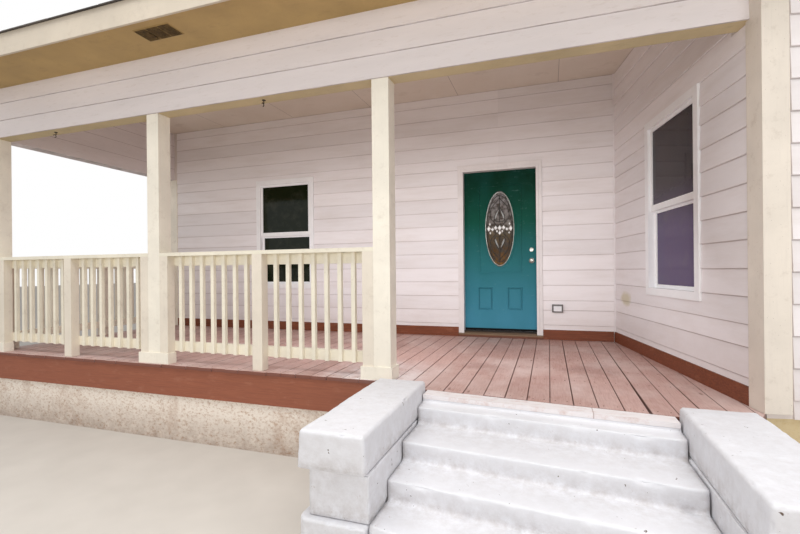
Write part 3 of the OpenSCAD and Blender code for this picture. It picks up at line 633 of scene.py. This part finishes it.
def scatter(name, spots, one, material, turn, small, large, seed):
    """Copies of one small solid at many spots, made with Geometry Nodes and kept as a plain mesh."""
    copy = add_object(name + "_copy", plain_mesh(name + "_copy", one.v, one.f))
    host = add_object(name + "_spots", plain_mesh(name + "_spots", spots))
    t = bpy.data.node_groups.new(name + "_scatter", "GeometryNodeTree")
    t.interface.new_socket("Spots", in_out="INPUT", socket_type="NodeSocketGeometry")
    settings = {}
    for label, kind, v in (
            ("Copy", "Object", copy), ("Turn", "Vector", turn), ("Smallest", "Float", small),
            ("Largest", "Float", large), ("Seed", "Int", seed), ("Finish", "Material", material)):
        socket = t.interface.new_socket(label, in_out="INPUT", socket_type="NodeSocket" + kind)
        settings[socket.identifier] = v
    t.interface.new_socket("Result", in_out="OUTPUT", socket_type="NodeSocketGeometry")
    inp, out, info, size, onto, real, finish = [t.nodes.new(kind) for kind in (
        "NodeGroupInput", "NodeGroupOutput", "GeometryNodeObjectInfo", "FunctionNodeRandomValue",
        "GeometryNodeInstanceOnPoints", "GeometryNodeRealizeInstances", "GeometryNodeSetMaterial")]
    wire(t, ((inp, "Copy", info, "Object"), (inp, "Smallest", size, 2), (inp, "Largest", size, 3),
             (inp, "Seed", size, "Seed"), (inp, "Spots", onto, "Points"),
             (info, "Geometry", onto, "Instance"), (inp, "Turn", onto, "Rotation"),
             (size, 1, onto, "Scale"), (onto, 0, real, 0), (real, 0, finish, "Geometry"),
             (inp, "Finish", finish, "Material"), (finish, 0, out, 0)))
    mod = host.modifiers.new("scatter", "NODES")
    mod.node_group = t
    for key, v in settings.items():
        mod[key] = v
    host.update_tag()
    bpy.context.view_layer.update()
    done = bpy.data.meshes.new_from_object(host.evaluated_get(bpy.context.evaluated_depsgraph_get()))
    done.name = name
    host.modifiers.remove(mod)
    bpy.data.objects.remove(host)
    bpy.data.objects.remove(copy)
    return attach(name, done, material)


class Masonry:
    """Thickly painted masonry: rounded blocks on fine lattices, worn inwards, with a grime value."""

    def __init__(self, seed):
        self.v, self.f, self.grime = [], [], []
        self.off = Vector((seed * 7.3, seed * 3.1, seed * 5.7))

    def wear(self, p, sharp):
        """Depth worn off at p; sharp is 1 on an edge and 0 on a flat face."""
        q = p + self.off
        d = 0.010 * (0.5 + 0.5 * noise.noise(q * 3.4)) + 0.0025 * (0.5 + 0.5 * noise.noise(q * 21))
        chip = max(0.0, noise.noise(q * 11) - 0.28) + 0.6 * max(0.0, noise.noise(q * 31) - 0.35)
        return d + 0.045 * sharp * chip + 0.003 * max(0.0, noise.noise(q * 17 + Vector((3, 1, 2))))

    def block(self, lo, hi, r, corner=0.0, lean=(0.0, 0.0), foot=False, dirty=0.1):
        """r rounds the edges and corner the left front one in plan; lean draws the top in at the
        left and right; foot leaves the bottom edges square."""
        def stations(a, b):
            n = max(1, round((b - a - 2 * r) / 0.015))
            near = [0, r * 0.35, r * 0.7]
            return ([a + t for t in near] + [a + r + (b - a - 2 * r) * k / n for k in range(n + 1)] +
                    [b - t for t in reversed(near)])
        grid = [stations(lo[a], hi[a]) for a in range(3)]
        last = [len(s) - 1 for s in grid]
        index = {}

        def vert(i, j, k):
            key = (i, j, k)
            if key in index:
                return index[key]
            p = Vector((grid[0][i], grid[1][j], grid[2][k]))
            core = Vector([min(max(p[a], lo[a] + r), hi[a] - r) for a in range(3)])
            flat_foot = foot and p.z < lo[2] + r
            if flat_foot:
                core.z = p.z
            d = p - core
            side = d.normalized() if d.length > 1e-9 else -UP
            p = core + side * min(d.length, r) if d.length > 1e-9 else p
            if corner and p.x < lo[0] + corner and p.y < lo[1] + corner:
                dx, dy = lo[0] + corner - p.x, lo[1] + corner - p.y
                m = max(dx, dy) / math.hypot(dx, dy)
                p.x, p.y = lo[0] + corner - dx * m, lo[1] + corner - dy * m
            t = (p.z - lo[2]) / (hi[2] - lo[2])
            u = (p.x - lo[0]) / (hi[0] - lo[0])
            p.x += t * (lean[0] * (1 - u) - lean[1] * u)
            world = home(*p)
            sharp = 1 - max(abs(c) for c in side)
            worn = self.wear(world, min(1.0, sharp * 3.5)) if k else 0.0
            side = Vector((side.x, side.y, 0 if flat_foot else side.z))
            index[key] = len(self.v)
            self.v.append(world - side * worn)
            low = max(0.0, 1 - (p.z - lo[2]) / 0.09)
            self.grime.append(min(1.0, dirty + low * 0.6 + min(0.5, worn * 25)))
            return index[key]

        one_way = (0, 0), (0, 1), (1, 1), (1, 0)
        other_way = (0, 0), (1, 0), (1, 1), (0, 1)
        for flat, u, v, low, high in ((0, 1, 2, one_way, other_way), (1, 0, 2, other_way, one_way),
                                      (2, 0, 1, one_way, other_way)):
            for p in range(last[u]):
                for q in range(last[v]):
                    for end, way in ((0, low), (last[flat], high)):
                        corners = []
                        for dp, dq in way:
                            key = [end] * 3
                            key[u], key[v] = p + dp, q + dq
                            corners.append(vert(*key))
                        self.f.append(corners)

    def flight(self, x0, x1, profile):
        """Stairs: profile gives (d, z, grime) points of the section, swept from x0 to x1;
        d below -0.5 is the straight rear face."""
        n, m = round((x1 - x0) / 0.02), len(profile)
        for i in range(n + 1):
            x = x0 + (x1 - x0) * i / n
            for j, (d, z, dirt) in enumerate(profile):
                a, b = profile[j - 1], profile[(j + 1) % m]
                side = Vector((a[1] - b[1], b[0] - a[0]))
                side = side.normalized() if side.length > 1e-9 else Vector((0, 1))
                p = home(x, -2.4705 if d < -0.5 else steps_line(x, d), z)
                if d > 0.13 and z > GROUND + 0.001:
                    turn = Vector((d - a[0], z - a[1])).angle(Vector((b[0] - d, b[1] - z)), 0.0)
                    p += Vector((0, side.x, -side.y)) * self.wear(p, min(1.0, turn * 2.0))
                end = max(0.0, 1 - min(x - x0, x1 - x) / 0.05)
                self.v.append(p)
                self.grime.append(min(1.0, dirt + 0.45 * end))
        for i in range(n):
            for j in range(m):
                q, w = i * m + j, i * m + (j + 1) % m
                self.f.append((q, w, w + m, q + m))
        self.f += [tuple(range(m)), tuple(range((n + 1) * m - 1, n * m - 1, -1))]

    def piece(self, name, material, node):
        me = plain_mesh(name, self.v, self.f, grime=("POINT", self.grime))
        turn_outwards(me)
        for p in me.polygons:
            p.use_smooth = len(p.vertices) == 4
        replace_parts(attach(name, me, material), node)


def masonry_paint():
    """Many coats of brushed white paint over rough masonry, with dirt in the hollows."""
    g = Graph("white_masonry_paint")
    white = "e0e0e4"
    g.base = g.blend(shade(white, 0.95), white, g.noise(2.6, 5, 0.6), 0.35, 0.65)
    stain = g.noise(5.5, 6, 0.68, stretch=(1, 1, 0.5))
    g.over("cec8c6", stain, 0.58, 0.8, 0.22)
    dirt = g.times(g.attribute("grime"), g.fade(g.noise(17, 6, 0.72), 0.34, 0.62))
    g.lay("96887e", g.times(dirt, 0.55))
    specks = g.noise(24, 3, 0.6, 0.8, stretch=(1, 1.6, 1))
    some = g.fade(g.noise(3.1, 4), 0.46, 0.52)
    g.lay("5c4a3e", g.times(g.fade(specks, 0.705, 0.72), some))
    chips = g.noise(26, 5, 0.75)
    g.lay("967868", g.times(g.fade(chips, 0.66, 0.7), g.attribute("grime")))
    n = g.bump(g.noise(9, 5, 0.6, 0.6, stretch=(3, 3, 14)), 0.35, 0.002)
    n = g.bump(g.noise(60, 4, 0.6), 0.3, 0.0015, n)
    n = g.bump(g.fade(specks, 0.74, 0.68), 0.3, 0.001, n)
    return g.finish(g.ramp(stain, [(0.3, 0.55), (0.7, 0.75)]), n)


def stair_profile():
    """The flight's section, from the deck's edge down: (d, z, grime) with nosings and hollows."""
    treads = [(0.12, STEPS_TOP), (0.245, -0.045)]
    d, z, going = 0.573, -0.045, 0.262
    for k in range(5):
        z -= RISER
        treads.append((d, z))
        d += going

    def run(a, b, fa, fb, pitch):
        n = max(1, round(math.dist(a, b) / pitch))
        return [(a[0] + (b[0] - a[0]) * i / n, a[1] + (b[1] - a[1]) * i / n, fa + (fb - fa) * i / n)
                for i in range(n)]

    def arc(d, z, r, angles, dirt):
        return [(d + r * math.cos(a), z + r * math.sin(a), dirt) for a in map(math.radians, angles)]
    pts = [(-1, GROUND, 0.0), (-1, STEPS_TOP, 0.0)]
    here = (-0.149, STEPS_TOP)
    hollow = 0.012
    for k, (d, z) in enumerate(treads):
        below = (treads[k + 1:] + [(0, GROUND)])[0][1]
        nose = 0.018 if k else 0.004
        pts += run(here, (d - nose, z), 0.55 if k > 1 else 0.1, 0.05, 0.03)
        pts += arc(d - nose, z - nose, nose, (90, 67.5, 45, 22.5, 0), 0.12)
        if k == 0:
            pts.append((d, below + 0.003, 0.3))
            here = (d + 0.003, below)
        elif k < len(treads) - 1:
            pts += run((d, z - nose), (d, below + hollow), 0.15, 0.6, 0.022)[1:]
            pts += arc(d + hollow, below + hollow, hollow, (180, 225, 270), 0.75)
            here = (d + 0.014, below)
        else:
            pts += run((d, z - nose), (d, GROUND), 0.15, 0.6, 0.022)[1:] + [(d, GROUND, 0.7)]
    return pts


def make_masonry():
    m = masonry_paint()
    caps = Masonry(1)
    caps.block((-1.9495, -3.7495, -0.1347), (-1.5655, -2.6203, 0.0698), r=0.026, lean=(0.014, 0.004))
    caps.block((-0.0545, -3.9002, -0.1347), (0.3445, -2.771, 0.0698), r=0.026, lean=(0.008, 0.006))
    caps.piece("worn_cheek_caps", m, "cheek_caps")
    feet = Masonry(2)
    # in_l and in_r: how far the upper blocks stand in from the foot at the left and right
    for (x0, x1), y, (in_l, in_r, corner) in zip(
            CHEEKS, CHEEK_FRONTS, ((0.045, 0.0, 0.07), (0.0, 0.045, 0.03))):
        left, right = x0 + in_l, x1 - in_r
        feet.block((left, y - 1.085, -0.3775), (right, -2.471, -0.1352), r=0.014, corner=0.02,
                   dirty=0.2)
        feet.block((left, y + 0.001, -0.1365), (right, STEPS_REAR, STEPS_TOP), r=0.01, dirty=0.3)
        feet.block((x0, y - 1.13, GROUND), (x1, STEPS_REAR, -0.3728), r=0.02, corner=corner,
                   foot=True, dirty=0.2)
    feet.piece("worn_cheek_pedestals", m, "cheek_pedestals")
    flight = Masonry(3)
    flight.flight(CHEEKS[0][1] + 0.0008, CHEEKS[1][0] - 0.0008, stair_profile())
    flight.piece("worn_steps", m, "steps")


def shingle_grit():
    g = Graph("shingle_grit")
    row = g.math("FLOOR", g.math("DIVIDE", g.axis("Y", ROOF_FRONT), 0.1368))
    shift = g.times(g.math("FLOORED_MODULO", row, 2.0), -0.5)
    tab = g.math("FLOOR", g.math("ADD", g.math("DIVIDE", g.axis("X", -6.704), TAB), shift))
    cell = g.add("CombineXYZ", X=tab, Y=row)
    tone = g.add("TexWhiteNoise", {"noise_dimensions": "2D"}, Vector=cell.outputs[0])
    g.base = g.mix(tone.outputs["Value"], "46403e", "6a635e")
    grit = g.cells(420)
    g.over("2c2826", grit, 0.6, 0.2, 0.55)
    streak = g.noise(2.2, 5, 0.6, stretch=(4, 0.5, 0.5))
    g.over("787062", streak, 0.55, 0.75, 0.25)
    return g.finish(0.9, g.bump(grit, 0.5, 0.0012))


def make_roof():
    """Shingle courses on a thinner deck, all inside the room that the frame's roof holds."""
    grit = shingle_grit()
    y0, y1 = ROOF_FRONT, 0.175
    x0, x1 = -6.86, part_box("roof")[1][0] - HOME.x
    fall, cover = 0.2, 0.0145
    low = 3.081 + (y0 + 2.96) * fall
    high = low + (y1 - y0) * fall
    top0, top1 = low + 0.018, high + 0.060
    slab = Solids()
    sec = [(y0 + 0.002, low), (y1, high), (y1, top1 - cover), (y0 + 0.002, top0 - cover)]
    slab.loft([[home(x, y, z) for y, z in sec] for x in (x0 + 0.0015, x1 - 0.0015)])
    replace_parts(slab.piece("roof_deck", grit, "roof_shingle", bevel=0.001), "roof")
    slope = math.atan2(top1 - top0, y1 - y0)
    run = math.hypot(y1 - y0, top1 - top0)
    course = 0.14
    w, l = TAB - 0.007, course + 0.03
    one = Solids()
    foot = [Vector((x, y, 0)) for x, y in ((-w / 2, 0), (w / 2, 0), (w / 2, l), (-w / 2, l))]
    one.loft([foot, [p + UP * (0.0062 if p.y == 0 else 0.0015) for p in foot]])
    spots = []
    rand = random.Random(5)
    k = 0
    while k * course + l < run:
        s = k * course + 0.003
        y, z = y0 + s * math.cos(slope), top0 - cover + s * math.sin(slope)
        x = x0 + w / 2 + 0.003 + (0 if k % 2 else TAB / 2)
        while x + w / 2 < x1 - 0.002:
            spots.append(home(x + rand.uniform(-0.0015, 0.0015), y + rand.uniform(0, 0.003),
                              z + (0.0 if k == 0 else 0.0022) + rand.uniform(0, 0.0008)))
            x += TAB
        k += 1
    o = scatter("roof_shingles", spots, one, grit, (slope, 0, 0), 0.985, 1.0, 8)
    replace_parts(o, "roof")


def door_paint():
    """Door paint from bottle green at the top to blue low down: partly a fade of the paint, partly
    painted shade darkening the door towards the top.
    """
    g = Graph("door_paint")
    z = g.axis("Z")
    # painted shade, with a fade of the paint: darker towards the top of the door
    g.base = g.ramp(g.math("DIVIDE", z, 2.2), [
        (0.1, "488ea6"), (0.42, "2c7076"), (0.66, "0e5040"), (0.92, "022c1c")])
    cloud = g.noise(3.2, 4, 0.55, stretch=(1, 1, 0.6))
    g.over("2a6c6c", cloud, 0.42, 0.72, 0.2)
    chalk = g.noise(14, 6, 0.7, stretch=(1, 1, 2))
    g.over("8cb0b0", chalk, 0.6, 0.8, 0.25)
    g.over("161414", z, 0.106, 0.104)
    grain = g.noise(6, 5, 0.6, stretch=(30, 30, 1.2))
    gloss = g.ramp(cloud, [(0.3, 0.34), (0.7, 0.46)])
    n = g.bump(grain, 0.12, 0.0008, g.edge(0.0025))
    return g.finish(gloss, n, **{"Specular IOR Level": 0.06})


def oval_glass():
    """Hammered glass of the oval light: grey above, amber-brown in the lower leaves."""
    g = Graph("oval_glass")
    z = g.axis("Z", OVAL_Z)
    g.base = g.ramp(g.math("ADD", z, 0.5), [
        (0.06, "785222"), (0.24, "4a3418"), (0.42, "60523a"), (0.54, "7e7872"), (0.95, "8c888a")])
    g.over("423a32", g.noise(24, 4, 0.6), 0.4, 0.62)
    n = g.bump(g.cells(95, "SMOOTH_F1"), 0.55, 0.004)
    return g.finish(0.2, n, **{"Specular IOR Level": 0.12})


def bevel_glass(name, tone, rough):
    return mottled(name, tone, shade(tone, 0.8), 30, rough, 3, (0.1, 0.001), **{"Coat Weight": 0.8})


def curve(a, b, c, d, n=14):
    """Points of a smooth curve from a to d, in the plane of the oval light."""
    def at(t, k):
        return ((1 - t) ** 3 * a[k] + 3 * (1 - t) * (1 - t) * t * b[k] +
                3 * (1 - t) * t * t * c[k] + t ** 3 * d[k])

    return [[at(i / n, k) for k in (0, 1)] for i in range(n + 1)]


def make_oval_light():
    """Leaded pattern on the outer face of the oval glass; it rides with the door."""
    y = 0.0788

    def at(p, lift=0.0):
        return home(DOOR_X + p[0], y - lift, OVAL_Z + p[1])

    def ring(k):
        half_w, half_h, n = 0.1825 * k, 0.48 * k, 36
        return [(half_w * math.sin(math.pi * i / n), half_h * math.cos(math.pi * i / n))
                for i in range(2 * n + 1)]
    cames = Solids(4)

    def came(pts):
        cames.tube([at(p, 0.0008) for p in pts], 0.0045)
    came(ring(0.88))
    rim = Solids(8)
    rim.tube([at(p, 0.002) for p in ring(0.975)], 0.0055)
    rim.piece("zinc_rim", metal("rim_zinc", "d6d8d4", "969c96", 0.3), "door_light",
              "door", smooth=True)
    # Curves of the upper right quarter; the other three quarters mirror them.
    quarter = (((0, 0.40), (0.03, 0.33), (0.125, 0.30), (0.118, 0.17)),
               ((0.118, 0.17), (0.112, 0.10), (0.06, 0.10), (0.038, 0.035)),
               ((0, 0.30), (0.012, 0.22), (0.07, 0.20), (0.062, 0.12)),
               ((0.062, 0.12), (0.058, 0.085), (0.02, 0.10), (0, 0.085)),
               ((0.118, 0.17), (0.135, 0.14), (0.148, 0.08), (0.155, 0.0)))
    leaf = (((0, 0.295), (0.012, 0.22), (0.07, 0.20), (0.062, 0.12)),
            ((0.062, 0.12), (0.03, 0.15), (0.02, 0.22), (0, 0.295)))
    leaves = Solids(6)
    for s in (1, -1):
        came([(0, s * z) for z in (0.42, 0.30, 0.19, 0.085)])
        for m in (1, -1):
            for pts in quarter:
                came(curve(*[(m * x, s * z) for x, z in pts]))
            one, two = [curve(*[(m * x, s * z) for x, z in pts], 8) for pts in leaf]
            outline = one + two[1:-1]
            leaves.loft([[at(p) for p in outline], [at(p, 0.0015) for p in outline]], 0.5)
    lead = mottled("lead_came", "262320", "423e3a", 60, 0.45, relief=(0.3, 0.0008), Metallic=0.3)
    cames.piece("lead_cames", lead, "door_light", "door", smooth=True)
    bevels = Solids(5)

    def gem(cx, cy, rx, ry):
        pts = [(cx, cy - ry), (cx + rx, cy), (cx, cy + ry), (cx - rx, cy)]
        top = [(cx + (x - cx) * 0.55, cy + (z - cy) * 0.55) for x, z in pts]
        bevels.loft([[at(p) for p in pts], [at(p, 0.0055) for p in top]])
    gem(0, 0.012, 0.026, 0.036)
    gem(0, -0.05, 0.022, 0.026)
    for m in (1, -1):
        for x, z, half_w, half_h in (
                (0.05, 0.014, 0.024, 0.03), (0.09, -0.004, 0.02, 0.022),
                (0.138, 0.004, 0.028, 0.036), (0.034, -0.03, 0.014, 0.02),
                (0.118, -0.05, 0.012, 0.018), (0.122, 0.062, 0.012, 0.02)):
            gem(m * x, z, half_w, half_h)
    bevels.piece("bevelled_gems", bevel_glass("clear_bevels", "eeeeec", 0.08), "door_light", "door")
    leaves.piece("leaf_glass", bevel_glass("dark_leaf_glass", "3a2c1e", 0.12), "door_light", "door")


def make_panel_mouldings():
    """Raised frames round the two low panels of the door, sloped so that their tops catch light."""
    s = Solids(12)
    z0, z1, face = 0.34, 0.626, 0.0652
    for x0, x1 in ((-0.276, -0.092), (0.092, 0.276)):
        k = len(s.v)
        for inward, out in ((0, 0.0), (0.005, 0.0065), (0.008, 0.0065), (0.015, 0.0)):
            left, right, low, high = x0 + inward, x1 - inward, z0 + inward, z1 - inward
            s.v += [home(DOOR_X + x, face - out, z)
                    for x, z in ((left, low), (right, low), (right, high), (left, high))]
        for i in range(4):
            for j in range(4):
                a, b, after = i * 4 + j, i * 4 + (j + 1) % 4, (i + 1) % 4 * 4
                s.f.append((k + a, k + b, k + after + (j + 1) % 4, k + after + j))
    s.rise, s.tints = [0.0] * len(s.v), [0.5] * len(s.f)
    s.piece("panel_mouldings", door_paint(), "door_paint", "door")


def window_glass():
    """Panes of an unlit room, a little wavy, with dust; painted shade and painted reflection give their
    colour: green-black in the rear wall's window, grey-purple and lavender low down in the return
    wall's. Besides these, only what is outside shows in them.
    """
    g = Graph("window_glass")
    # painted shade for the dark room, with a painted reflection of green foliage in the rear wall's
    # window; grey-purple in the return wall's window
    deep = g.blend("121a0c", "2a1f26", g.math("ADD", g.axis("X"), 1.5), 0.0, 0.4)
    side = g.fade(g.math("ADD", g.axis("X"), 1.5), 0.0, 0.4)    # 1 at the return wall's window
    # painted reflection: lavender over the lower part of the return wall's window
    low = g.times(g.fade(g.axis("Z", 1.0), 0.6, 0.2), side)
    g.base = g.mix(g.times(low, 0.7), deep, "604e7a")
    dust = g.noise(6, 6, 0.65)
    g.over("787468", dust, 0.5, 0.8, 0.14)
    gloss = g.ramp(dust, [(0.4, 0.04), (0.8, 0.12)])
    return g.finish(gloss, g.bump(g.noise(3.0, 1), 0.06, 0.01), IOR=1.3)


def vinyl():
    g = Graph("window_vinyl")
    g.base = g.blend("f4f2f3", "faf9fa", g.noise(5, 5, 0.6), 0.35, 0.65)
    grime = g.noise(19, 6, 0.7)
    g.over("b8aca0", grime, 0.6, 0.8, 0.25)
    return g.finish(0.38, g.bump(grime, 0.05, 0.0005, g.edge(0.002)))


def metal(name, colour, dark, rough, scale=30):
    g = Graph(name)
    n = g.noise(scale, 5, 0.65)
    g.base = g.blend(colour, dark, n, 0.42, 0.66)
    gloss = g.ramp(n, [(0.3, rough - 0.08), (0.7, rough + 0.15)])
    return g.finish(gloss, g.bump(n, 0.08, 0.0006, g.edge(0.001)), Metallic=0.85)


def threshold_finish():
    """Bronze sill cap, a worn tan nosing under it and a stained wooden riser."""
    g = Graph("threshold_finish")
    z = g.axis("Z")
    g.base = g.ramp(z, [(0.0, "6c4232"), (0.026, "704634"), (0.03, "887058"),
                        (0.052, "78624c"), (0.056, "3a2c22"), (0.08, "342820")])
    wear = g.noise(26, 5, 0.7, stretch=(1, 4, 4))
    g.over("604c3a", wear, 0.5, 0.75, 0.5)
    return g.finish(0.5, g.bump(wear, 0.2, 0.001, g.edge(0.002)), Metallic=0.25)


def parge():
    """Trowelled, painted foundation with damp stains and a tan block under the street corner."""
    g = Graph("foundation_parge")
    rough = g.noise(34, 9, 0.8, stretch=(1, 1, 1.5))
    g.base = g.blend("bea088", "eee4d8", rough, 0.36, 0.5)
    stain = g.noise(1.9, 10, 0.78, stretch=(1, 1, 0.7))
    g.over("aa8264", stain, 0.54, 0.68, 0.6)
    splash = g.times(g.fade(g.axis("Z", GROUND), 0.3, 0.0), g.noise(9, 5, 0.7))
    g.lay("745642", splash)
    g.lay("ceb888", g.times(g.fade(g.axis("X"), 0.3, 0.32), 0.85))      # under the street corner
    g.over("6e5444", g.cells(60), 0.1, 0.05, 0.5)
    n = g.bump(g.noise(8, 5, 0.6, stretch=(2, 2, 6)), 0.5, 0.004)
    return g.finish(0.88, g.bump(g.noise(90, 4), 0.3, 0.0012, n))


def stained_board(name, colour, deep, worn):
    g = Graph(name)
    grain = g.noise(5, 6, 0.65, 0.5, stretch=(1.1, 8, 26))
    g.base = g.blend(colour, deep, grain, 0.3, 0.7)
    scuff = g.noise(6, 6, 0.7, stretch=(1, 1, 3))
    g.over(worn, scuff, 0.56, 0.74, 0.6)
    return g.finish(0.62, g.bump(grain, 0.4, 0.0014, g.edge(0.003)))


def strip_paint():
    """The edge board over the steps: worn pale paint over red, with its joint."""
    g = Graph("strip_paint")
    wear = g.noise(9, 6, 0.72, stretch=(1, 2.5, 1))
    g.base = g.blend("e8e2e2", "ceb2aa", wear, 0.5, 0.7, 0.7)
    joint = g.math("ABSOLUTE", g.math("SUBTRACT", g.axis("X"), -0.493))
    g.over("8c6c62", joint, 0.004, 0.002, 0.8)
    return g.finish(0.65, g.bump(wear, 0.4, 0.0015, g.edge(0.004)))


def soffit_paint(name, colour):
    g = Graph(name)
    g.base = g.blend(shade(colour, 0.86), shade(colour, 1.04), g.noise(2.2, 5, 0.6), 0.35, 0.65)
    stain = g.noise(6, 6, 0.7, stretch=(1, 2, 1))
    g.over(shade(colour, 0.55), stain, 0.56, 0.76, 0.4)
    return g.finish(0.6, g.bump(g.noise(8, 4, stretch=(1, 20, 1)), 0.2, 0.001, g.edge(0.003)))


def make_vent():
    """Three louvred panels on the vent's underside, coloured dark as painted shade for the vent's
    shaded openings, with narrow light bars between them.
    """
    s = Solids(9)
    for i in (-1, 0, 1):
        lo, hi = [-3.85 + i * 0.123 + half for half in (-0.057, 0.057)]
        for k in range(14):
            y = -2.765 - 0.083 + k * 0.0122
            sec = [(y - 0.0005, 2.8795), (y + 0.0015, 2.8795), (y + 0.0125, 2.8845), (y, 2.8845)]
            s.loft([[home(x, a, z) for a, z in sec] for x in (lo, hi)])
    # painted shade: the louvres are dark brown where the vent's openings are in shade
    s.piece("vent_louvres", mottled("dark_louvre_painted_shade", "503e20", "745c36", 30, 0.6), "shade_paint")


def outlet_plastic():
    g = Graph("outlet_plastic")
    grey = g.blend("706c6a", "54504e", g.noise(18, 5, 0.65), 0.45, 0.75)
    across = g.math("ABSOLUTE", g.axis("X", -0.64))
    up = g.math("ABSOLUTE", g.axis("Z", OUTLET_Z))
    lid = g.times(g.fade(across, 0.047, 0.045), g.fade(up, 0.032, 0.03))
    lid = g.times(lid, g.fade(g.axis("Y", -0.06), 0.028, 0.026))
    g.base = g.mix(lid, grey, "ececee")
    return g.finish(0.4, g.bump(g.fade(up, 0.001, 0.002), 0.6, 0.002, g.edge(0.002)))


def dress_frame():
    """Finishes for the CAD nodes whose shape is right as it is."""
    cream = "f8f1e2"
    dress(paint("cream_upright", cream, UPRIGHT), "posts", "post_bases", "corner_pilaster")
    dress(paint("corner_paint", "e8ded1", UPRIGHT, dirty=0.35), "corner_board")
    # painted shade: the rails' cream is a darker copy of the posts' cream, for the shade on the
    # railing's inner side
    shaded_rail_cream = "f2ebd8"
    dress(paint("rail_paint", shaded_rail_cream, LEVEL), "left_railing", "right_railing")
    dress(paint("fascia_paint", "d6cab8", LEVEL), "fascia")
    dress(paint("newel_paint", "ece2d2", UPRIGHT), "newels")
    dress(paint("end_rail_paint", shaded_rail_cream, INWARD), "end_railing")
    dress(soffit_paint("soffit_tan", "b89a64"), "soffit", "soffit_vent")
    dress(soffit_paint("beam_tan", "cebd94"), "front_beam")
    dress(paint("casing_paint", "eee7e6", UPRIGHT, grain=0.12), "door_frame", "door_casing")
    dress(frieze_paint(), "frieze_boards", "side_beam")
    dress(ceiling_paint(), "ceiling")
    dress(paint("bare_wall", "e2d8d2", UPRIGHT, edge=0), "wall_left", "wall_right",
          "wall_over_door", "return_wall")
    dress(stained_board("kick_stain", "8a4a2e", "62321e", "9e684e"), "kick_boards")
    dress(stained_board("rim_stain", "9a5a40", "864c36", "a87058"), "rim_boards")
    dress(strip_paint(), "deck_edge_strip")
    dress(parge(), "deck_foundation", "house_base")
    dress(door_paint(), "door_leaf", "door_mouldings")
    dress(oval_glass(), "door_glass")
    dress(threshold_finish(), "threshold")
    dress(metal("hinge_brass", "c4a460", "785c34", 0.36), "door_hinges", "frame_hinges")
    dress(metal("lock_nickel", "ceccc6", "8c8880", 0.26), "door_hardware")
    dress(vinyl(), "window_frames", "window_sashes")
    dress(window_glass(), "window_panes")
    dress(outlet_plastic(), "outlet_box")
    dress(metal("hook_iron", "222120", "423228", 0.5, 60), "plant_hooks")


make_camera()
make_world()
make_lights()
make_floor()
make_siding()
make_deck()
make_masonry()
make_roof()
make_oval_light()
make_panel_mouldings()
make_vent()
dress_frame()
